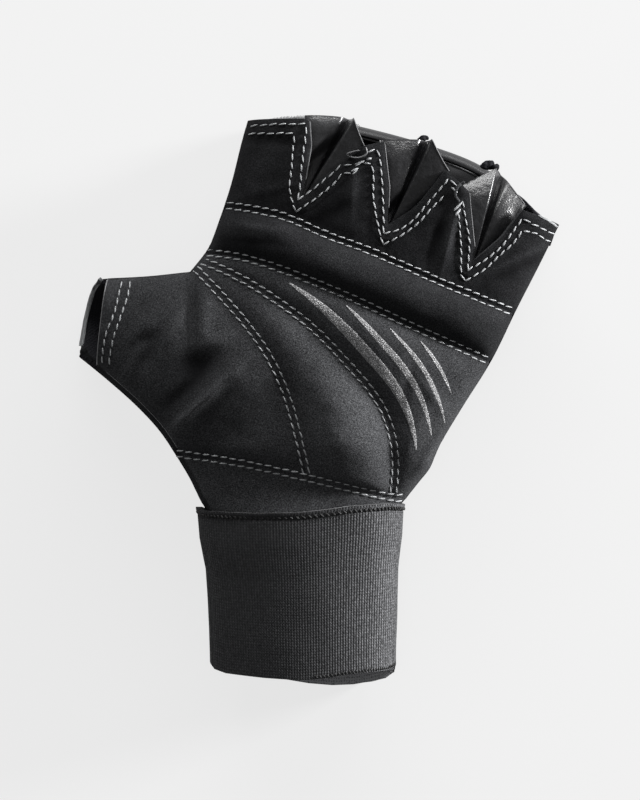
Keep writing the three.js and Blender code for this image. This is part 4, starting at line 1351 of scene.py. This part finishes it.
def cloth_ends():
    """Crumpled ends of cloth that stick out between the gussets and the roll."""
    bm = bmesh.new()
    end = CLOTH_END
    for x, y, z, length, width, turn in CLOTH_ENDS:
        place = Matrix.Translation(Vector((x, y, z)) * MM) @ Matrix.Rotation(math.radians(turn), 4, "Z")
        place @= Matrix.Diagonal((length * MM, width * MM, end["thickness"] * MM, 1))
        bmesh.ops.create_icosphere(bm, subdivisions=4, radius=1.0, matrix=place)
    noise.seed_set(end["seed"])
    for vert in bm.verts:
        vert.co += end["crumpled"] * MM * noise.noise_vector(vert.co / MM / end["scale"])
    make_piece(bm, "cloth_ends", "back cloth")


def cut_edges():
    """Light cut edges of leather: the second lobe's rim on each gusset, and the flaps beside the notches."""
    for name, shape in GUSSETS.items():
        f = GUSSET_SHAPE["fold_at"]
        start = f if shape["ridge"] > 0 else f + 0.02
        rim = lambda share: on_gusset(shape, start + (0.98 - start) * share, np.ones(len(share))) + (0, 0, 0.05)
        tube("rim_" + name, rim, **ROLLS["gusset_rim"])
    height = lambda p: palm_height(p, **FLAPS) - 0.15
    for name, (first, last) in FLAP_EDGES.items():
        line = Line(on_palm(FINGER_EDGE[first:last + 1])).offset(0.15, 0.02, 0.8)
        tube(name, in_space(line, height), **ROLLS["flap_edge"])
    for name, (lift, points) in CURLED_EDGES.items():
        tube(name, in_space(Line.smooth(points), lambda p: height(p) + lift), **ROLLS[name])
    starts, finishes = np.hsplit(np.array(LOOSE_STITCHES), 2)
    rows = strokes(starts, finishes, lambda p: palm_height(p, **FLAPS), 0.4, 0.4)
    sew("loose_stitches", rows, 0.8, "seam thread")


def back_trim():
    """Overlocked edges of the back's cloth and of the outermost flap, and the roll's inner piping."""
    row = OVERLOCK["back"]
    share = row["start"] + row["over"] * middles(row["count"])
    uneven = np.array([noise.noise(Vector((k * 0.7, 3.3, 1.1))) for k in range(row["count"])])
    starts, finishes = (
        back_rim.beside(share + lean, away + varies * uneven)
        for lean, away, varies in zip((0, row["lean"]), row["beside"], (-row["varies"], row["varies"]))
    )
    sew("back_overlock", strokes(starts, finishes, roll_top, *row["lifts"]), row["width"], "dim overlock thread")
    for name, shares in PIPING.items():
        path = in_space(back_rim.offset(PIPING_INSET, *shares), FACING["level"])
        tube(name, path, **ROLLS["piping"])
    row = OVERLOCK["flap"]
    edge, share = Line.smooth(FRAYED_EDGE), middles(row["count"])
    starts, finishes = edge.at(share), edge.at(share + row["lean"]) + row["reach"]
    rows = strokes(starts, finishes, lambda p: palm_height(p, **FLAPS), *row["lifts"])
    sew("flap_overlock", rows, row["width"], "overlock thread")


def little_lip():
    """The end of the back's cloth that shows beside the little finger, beyond the palm's flap."""
    outer = Line.smooth(LIP_EDGE)
    depth = KNUCKLE_PAD["roll_depth"] * HAND
    inner_line = Line.smooth([tuple(p - depth) for p in outer.at(np.linspace(0, 1, 6))])
    bm = unit_sheet(*CELLS["little_lip"])

    def place(across, along, inner):
        start, end = inner_line.at(across), outer.at(across)
        places = start + (end - start) * along[:, None]
        level = back_level(start)[1] + LIP["start"]
        level = level + (LIP["end"] - level) * smoothstep(along) + LIP["crown"] * np.sin(np.pi * along)
        level = np.minimum(level + crumple(places, "lip"), side_seam(places) - LIP["under_seam"])
        return np.column_stack((places, level - LIP["wall"] * inner))

    lay(bm, place)
    measure(bm)
    round_lips(bm, ROUNDED["lip"])
    add_uv(bm)
    return make_piece(bm, "little_lip", "back cloth")


def cuff_stitches():
    """The dark overlock stitches in the groove under the cuff's welt, and those over its hem in front."""
    row = CUFF_STITCHES
    share, half = middles(row["count"]), row["half"] / row["count"]
    groove = (WELT["height"] + row["under_welt"]) / CUFF_LENGTH
    upper = cuff_places(share + half, np.full(len(share), groove - row["up"]), -0.15)
    lower = cuff_places(share - half, np.full(len(share), groove + row["down"]), -0.15)
    for places in (upper, lower):
        places[:, 2] = np.maximum(places[:, 2], row["clear"])
    sew("cuff_stitches", np.column_stack((upper, lower)), row["width"], "dark thread")
    row = CUFF_HEM_STITCHES
    share = row["start"] + row["over"] * middles(row["count"])
    upper, lower = (
        cuff_places(share + side * row["half"], np.full(len(share), down), inset)
        for side, down, inset in zip((1, -1), row["shares"], (-0.1, 0.0))
    )
    sew("cuff_hem_stitches", np.column_stack((upper, lower)), row["width"], "dark thread")


# Materials

def fill_in(node, inputs):
    """Gives a node's inputs their values, or links them to other nodes' outputs."""
    for key, value in inputs.items():
        if isinstance(value, bpy.types.NodeSocket):
            node.id_data.links.new(value, node.inputs[key])
        else:
            node.inputs[key].default_value = value


def add_node(tree, kind, inputs=(), **settings):
    node = tree.nodes.new("ShaderNode" + kind)
    for key, value in settings.items():
        setattr(node, key, value)
    fill_in(node, dict(inputs))
    return node


def maths(tree, operation, *values, clamp=False):
    return add_node(tree, "Math", dict(enumerate(values)), operation=operation, use_clamp=clamp).outputs[0]


def spread(tree, value, low, high, dark=0.0, light=1.0):
    """Spreads a value's range from low to high over the one from dark to light."""
    inputs = {"Value": value, "From Min": low, "From Max": high, "To Min": dark, "To Max": light}
    return add_node(tree, "MapRange", inputs).outputs[0]


def noise_node(tree, where, scale, detail):
    return add_node(tree, "TexNoise", {"Vector": where, "Scale": scale, "Detail": detail}).outputs["Fac"]


def grouped(build):
    """Gives the node group that build makes, named after it, and makes it on first use only."""
    def find():
        name = build.__name__.capitalize()
        if name not in bpy.data.node_groups:
            tree = bpy.data.node_groups.new(name, "ShaderNodeTree")
            build(tree, tree.nodes.new("NodeGroupInput"), tree.nodes.new("NodeGroupOutput"))
        return bpy.data.node_groups[name]
    return find


def sockets(tree, in_out, **defaults):
    for name, value in defaults.items():
        kind = "NodeSocketVector" if name == "Vector" else "NodeSocketFloat"
        socket = tree.interface.new_socket(name=name, in_out=in_out, socket_type=kind)
        if value is not None:
            socket.default_value = value


@grouped
def grain(tree, source, result):
    """Uneven grain at two scales: a height for bumps and a mask for patches of lighter nap."""
    sockets(tree, "INPUT", Vector=None, Fine=2500.0, Coarse=400.0, Patches=60.0)
    sockets(tree, "OUTPUT", Height=None, Patch=None)
    given = source.outputs
    fine, coarse, patch = (
        noise_node(tree, given["Vector"], given[scale], detail)
        for scale, detail in (("Fine", 3.0), ("Coarse", 2.0), ("Patches", 4.0))
    )
    height = maths(tree, "MULTIPLY_ADD", coarse, 0.6, fine)
    fill_in(result, {"Height": height, "Patch": spread(tree, patch, 0.3, 0.7)})


@grouped
def knit(tree, source, result):
    """Rows of knitted loops: a height that rises on each loop."""
    sockets(tree, "INPUT", Vector=None, Pitch=0.001)
    sockets(tree, "OUTPUT", Height=None)
    pitch = add_node(tree, "CombineXYZ", {key: source.outputs["Pitch"] for key in "XYZ"})
    shape = add_node(
        tree, "VectorMath", {0: source.outputs["Vector"], 1: pitch.outputs[0]}, operation="DIVIDE",
    )
    parts = add_node(tree, "SeparateXYZ", {0: shape.outputs[0]}).outputs
    fold = maths(tree, "PINGPONG", parts["X"], 0.5)
    slant = maths(tree, "MULTIPLY_ADD", fold, 1.1, parts["Y"])
    ribs, loops = (maths(tree, "COSINE", maths(tree, "MULTIPLY", way, 2 * math.pi)) for way in (parts["X"], slant))
    product = maths(tree, "MULTIPLY_ADD", ribs, -0.95, loops)
    fill_in(result, {"Height": spread(tree, product, -1.95, 1.95)})


def add_grain(tree, fine, coarse, patches):
    """Height and patches of the grain at three scales, in the piece's own space."""
    scales = {"Fine": fine, "Coarse": coarse, "Patches": patches}
    where = add_node(tree, "TexCoord").outputs["Object"]
    node = add_node(tree, "Group", {"Vector": where, **scales}, node_tree=grain())
    return node.outputs["Height"], node.outputs["Patch"]


def add_knit(tree, pitch):
    """Height of the knit, laid out by the piece's UV map, at a pitch in millimetres."""
    where = add_node(tree, "TexCoord").outputs["UV"]
    return add_node(tree, "Group", {"Vector": where, "Pitch": pitch * MM}, node_tree=knit()).outputs["Height"]


def kept_layer(tree, name):
    """A value that the mesh keeps at each vertex."""
    return add_node(tree, "Attribute", attribute_name=name).outputs["Fac"]


def bump(tree, height, strength, distance):
    return add_node(tree, "Bump", {"Height": height, "Strength": strength, "Distance": distance}).outputs["Normal"]


def shade(colour, times):
    return tuple(times * c for c in colour)


def mix_colours(tree, mask, dark, light):
    """Mixes two colours by a mask; either can be another node's output."""
    node = add_node(tree, "Mix", data_type="RGBA")
    dark, light = (side if isinstance(side, bpy.types.NodeSocket) else (*side, 1) for side in (dark, light))
    fill_in(node, {"Factor": mask, "A": dark, "B": light})
    return node.outputs["Result"]


def suede(tree, shader):
    height, patch = add_grain(tree, 2600, 1900, 130)
    # The layer kept on the mesh mixes in the lighter colour: the nap, and painted light and shade
    patchy = maths(tree, "MULTIPLY_ADD", patch, 0.08, kept_layer(tree, "rubbed"))
    flecks = maths(tree, "POWER", spread(tree, height, 0.5, 1.1, 0.3, 1.12), 2.2)
    mask = maths(tree, "MULTIPLY", patchy, flecks, clamp=True)
    fill_in(shader, {
        "Base Color": mix_colours(tree, mask, colours().suede, colours().suede_nap),
        "Roughness": 1.0, "Specular IOR Level": 0.0, "Sheen Weight": 0.01, "Sheen Roughness": 0.5,
        "Normal": bump(tree, height, 1.0, 0.00008),
    })


def leather(tree, shader, roughness, specular, relief, paleness):
    height, patch = add_grain(tree, 1500, 800, 900)
    skin = mix_colours(tree, patch, colours().leather, shade(colours().leather, paleness))
    fill_in(shader, {
        # The layer kept on the mesh mixes in the pale colour: painted light on the gussets' lobes, and a lighter roll
        # facing
        "Base Color": mix_colours(tree, kept_layer(tree, "rubbed"), skin, colours().leather_worn),
        "Roughness": roughness, "Specular IOR Level": specular, "Normal": bump(tree, height, 0.8, relief),
    })


def cut_edge(tree, shader):
    fill_in(shader, {"Base Color": (*colours().leather_worn, 1), "Roughness": 0.5})


def cloth(tree, shader):
    loops = add_knit(tree, sizes().knit_pitch)
    fill_in(shader, {
        "Base Color": mix_colours(tree, loops, colours().cloth, shade(colours().cloth, 2.6)),
        "Roughness": 0.95, "Specular IOR Level": 0.1, "Normal": bump(tree, loops, 0.9, 0.0002),
    })


def elastic(tree, shader):
    """Painted light between the loops: a painted sheen where the cuff is seen aslant towards the right and the upper
    half, and painted light inside its mouth, where shade falls.
    """
    loops = add_knit(tree, sizes().rib_pitch)
    height, patch = add_grain(tree, 3400, 1500, 1100)
    uneven = maths(tree, "MULTIPLY", patch, loops)
    aslant = add_node(tree, "LayerWeight", {"Blend": 0.88}).outputs["Facing"]
    shine = maths(tree, "MULTIPLY", kept_layer(tree, "rubbed"), aslant)
    # Painted sheen and painted light, from the layers kept on the mesh
    painted_light = maths(tree, "MULTIPLY_ADD", shine, 0.38, kept_layer(tree, "lining"))
    faint = maths(tree, "MULTIPLY", uneven, 0.14)
    mask = maths(tree, "MULTIPLY_ADD", painted_light, spread(tree, uneven, 0.0, 0.6, 0.25, 2.1), faint, clamp=True)
    relief = maths(tree, "MULTIPLY_ADD", height, 0.8, loops)
    fill_in(shader, {
        "Base Color": mix_colours(tree, mask, colours().elastic, shade(colours().elastic, 12.0)),
        "Roughness": 0.9, "Specular IOR Level": 0.0, "Sheen Weight": 0.1, "Sheen Roughness": 0.35,
        "Normal": bump(tree, relief, 1.0, 0.00014),
    })


def thread(tree, shader, colour, light):
    """Twisted strands, in one of the panel's colours made darker or left as it is."""
    where = add_node(tree, "TexCoord").outputs["Object"]
    waves = {"Vector": where, "Scale": 900.0, "Distortion": 4.0, "Detail": 2.0}
    strands = add_node(tree, "TexWave", waves, wave_type="BANDS", bands_direction="DIAGONAL").outputs["Fac"]
    colour = shade(getattr(colours(), colour), light)
    fill_in(shader, {
        "Base Color": mix_colours(tree, strands, shade(colour, 0.55), colour),
        "Roughness": 0.7, "Normal": bump(tree, strands, 0.6, 0.0001),
    })


def grip_print(tree, shader):
    """A glossy print, crackled into flakes."""
    where = add_node(tree, "TexCoord").outputs["Object"]
    crackle = add_node(tree, "TexVoronoi", {"Vector": where, "Scale": 1500.0}, feature="DISTANCE_TO_EDGE")
    height, patch = add_grain(tree, 2600, 1400, 1500)
    flake = spread(tree, crackle.outputs["Distance"], 0.0, 0.3)
    mask = maths(tree, "MULTIPLY", flake, patch)
    relief = maths(tree, "MULTIPLY_ADD", flake, 0.8, height)
    fill_in(shader, {
        "Base Color": mix_colours(tree, mask, shade(colours().stripe, 0.16), colours().stripe),
        "Roughness": 0.45, "Specular IOR Level": 0.5, "Normal": bump(tree, relief, 1.0, 0.00016),
    })


def studio_floor(tree, shader):
    fill_in(shader, {
        "Base Color": (*colours().floor, 1), "Roughness": 1.0, "Emission Color": (1, 1, 1, 1),
        "Emission Strength": bpy.context.scene.glove_stage.floor_glow,
    })


# What builds each material, and with which details
MATERIALS = {
    "palm suede": (suede,),
    "gusset leather": (leather, 0.3, 0.62, 0.00013, 2.2),
    "pad leather": (leather, 0.46, 0.3, 0.00008, 1.7),
    "cut edges": (cut_edge,),
    "back cloth": (cloth,),
    "cuff elastic": (elastic,),
    "seam thread": (thread, "thread", 1.0),
    "overlock thread": (thread, "thread", 0.62),
    # A darker copy of the overlock thread for the strokes over the roll: painted shade
    "dim overlock thread": (thread, "thread", 0.2),
    "dark thread": (thread, "leather", 0.3),
    "grip print": (grip_print,),
    "studio floor": (studio_floor,),
}


def material(name):
    """Finds the material by its name, or builds it on first use."""
    found = bpy.data.materials.get(name)
    if found is None:
        found = bpy.data.materials.new(name)
        found.use_nodes = True
        build, *details = MATERIALS[name]
        build(found.node_tree, found.node_tree.nodes["Principled BSDF"], *details)
    return found


# Operators

class GLOVE_OT_stage(bpy.types.Operator):
    """Camera at the photograph's view, a pale floor and soft lights"""

    bl_idname = "glove.stage"
    bl_label = "Stage"

    def execute(self, context):
        lens = context.scene.glove_stage.lens
        camera = add_object("camera", bpy.data.cameras.new("camera"))
        camera.data.lens = lens
        camera.location = (0, 0, STAGE["middle"] + STAGE["height"] * lens)
        context.scene.camera = camera
        bm = bmesh.new()
        level = Matrix.Translation((0, 0, -STAGE["under"]))
        bmesh.ops.create_grid(bm, x_segments=1, y_segments=1, size=STAGE["floor"], matrix=level)
        mesh_object(bm, "floor", "studio floor")
        for name, light in LIGHTS.items():
            self.add_light(name, *light)
        context.scene.world = self.pale_world()
        context.scene.view_settings.view_transform = "Standard"
        return {"FINISHED"}

    def pale_world(self):
        """Pale where the camera sees past the floor, and dim as a light."""
        world = bpy.data.worlds.new("world")
        world.use_nodes = True
        tree = world.node_tree
        dim = tree.nodes["Background"]
        pale = add_node(tree, "Background")
        for node, strength in ((dim, STAGE["dim"]), (pale, STAGE["pale"])):
            fill_in(node, {"Color": (1, 1, 1, 1), "Strength": strength})
        seen = add_node(tree, "LightPath").outputs["Is Camera Ray"]
        both = add_node(tree, "MixShader", {0: seen, 1: dim.outputs[0], 2: pale.outputs[0]})
        fill_in(tree.nodes["World Output"], {"Surface": both.outputs[0]})
        return world

    def add_light(self, name, place, width, height, power):
        light = bpy.data.lights.new(name, "AREA")
        light.shape = "RECTANGLE"
        light.size = width
        light.size_y = height
        light.energy = power
        lamp = add_object(name, light)
        lamp.location = place
        lamp.rotation_euler = (-Vector(place)).to_track_quat("-Z", "Y").to_euler()
        lamp.visible_glossy = name != "fill"


class GLOVE_OT_palm(bpy.types.Operator):
    """The six suede panels of the palm side"""

    bl_idname = "glove.palm"
    bl_label = "Palm panels"

    def execute(self, context):
        for name, panel in palm_panels().items():
            palm_panel(name, panel)
        return {"FINISHED"}


class GLOVE_OT_back(bpy.types.Operator):
    """The stretch cloth of the back and of the thumb's back"""

    bl_idname = "glove.back"
    bl_label = "Back"

    def execute(self, context):
        for name, panel in back_panels().items():
            back_panel(name, panel)
        return {"FINISHED"}


class GLOVE_OT_gussets(bpy.types.Operator):
    """The pleated leather between the fingers"""

    bl_idname = "glove.gussets"
    bl_label = "Gussets"

    def execute(self, context):
        for name, shape in GUSSETS.items():
            gusset(name, shape)
        return {"FINISHED"}


class GLOVE_OT_knuckle_pad(bpy.types.Operator):
    """The padded leather bar over the knuckles"""

    bl_idname = "glove.knuckle_pad"
    bl_label = "Knuckle pad"

    def execute(self, context):
        knuckle_pad()
        roll_facing()
        return {"FINISHED"}


class GLOVE_OT_cuff(bpy.types.Operator):
    """The ribbed elastic cuff"""

    bl_idname = "glove.cuff"
    bl_label = "Cuff"

    def execute(self, context):
        cuff()
        cuff_join()
        return {"FINISHED"}


class GLOVE_OT_stitching(bpy.types.Operator):
    """The double rows of thread along seams and hems"""

    bl_idname = "glove.stitching"
    bl_label = "Stitching"

    def execute(self, context):
        stitching()
        stitching_underneath()
        return {"FINISHED"}


class GLOVE_OT_stripes(bpy.types.Operator):
    """The glossy grip stripes on the palm's centre"""

    bl_idname = "glove.stripes"
    bl_label = "Grip stripes"

    def execute(self, context):
        for name, row in GRIP_STRIPES.items():
            grip_stripe(name, *row)
        return {"FINISHED"}


class GLOVE_OT_trims(bpy.types.Operator):
    """The thumb hole's rolled hem, the curled corners, cloth ends, piping and the cuff's stitches"""

    bl_idname = "glove.trims"
    bl_label = "Trims"

    def execute(self, context):
        thumb_rim()
        cloth_ends()
        cut_edges()
        back_trim()
        little_lip()
        cuff_stitches()
        return {"FINISHED"}


class GLOVE_PT_panel(bpy.types.Panel):
    """Sizes, colours and pieces of the glove"""

    bl_label = "Boxing inner glove"
    bl_idname = "GLOVE_PT_panel"
    bl_space_type = "VIEW_3D"
    bl_region_type = "UI"
    bl_category = "Glove"

    def draw(self, context):
        for group in (context.scene.glove_sizes, context.scene.glove_colours, context.scene.glove_stage):
            box = self.layout.box()
            for name in group.__annotations__:
                box.prop(group, name)
        for operator in OPERATORS:
            self.layout.operator(operator.bl_idname)


OPERATORS = (
    GLOVE_OT_stage, GLOVE_OT_palm, GLOVE_OT_back, GLOVE_OT_gussets, GLOVE_OT_knuckle_pad, GLOVE_OT_cuff,
    GLOVE_OT_stitching, GLOVE_OT_stripes, GLOVE_OT_trims,
)
CLASSES = (GloveSizes, GloveColours, GloveStage, *OPERATORS, GLOVE_PT_panel)


def register():
    for cls in CLASSES:
        bpy.utils.register_class(cls)
    bpy.types.Scene.glove_sizes = PointerProperty(type=GloveSizes)
    bpy.types.Scene.glove_colours = PointerProperty(type=GloveColours)
    bpy.types.Scene.glove_stage = PointerProperty(type=GloveStage)


def unregister():
    del bpy.types.Scene.glove_stage
    del bpy.types.Scene.glove_colours
    del bpy.types.Scene.glove_sizes
    for cls in reversed(CLASSES):
        bpy.utils.unregister_class(cls)


def main():
    register()
    bpy.ops.glove.stage()
    bpy.ops.glove.palm()
    bpy.ops.glove.back()
    bpy.ops.glove.gussets()
    bpy.ops.glove.knuckle_pad()
    bpy.ops.glove.cuff()
    bpy.ops.glove.stitching()
    bpy.ops.glove.stripes()
    bpy.ops.glove.trims()


if __name__ == "__main__":
    main()
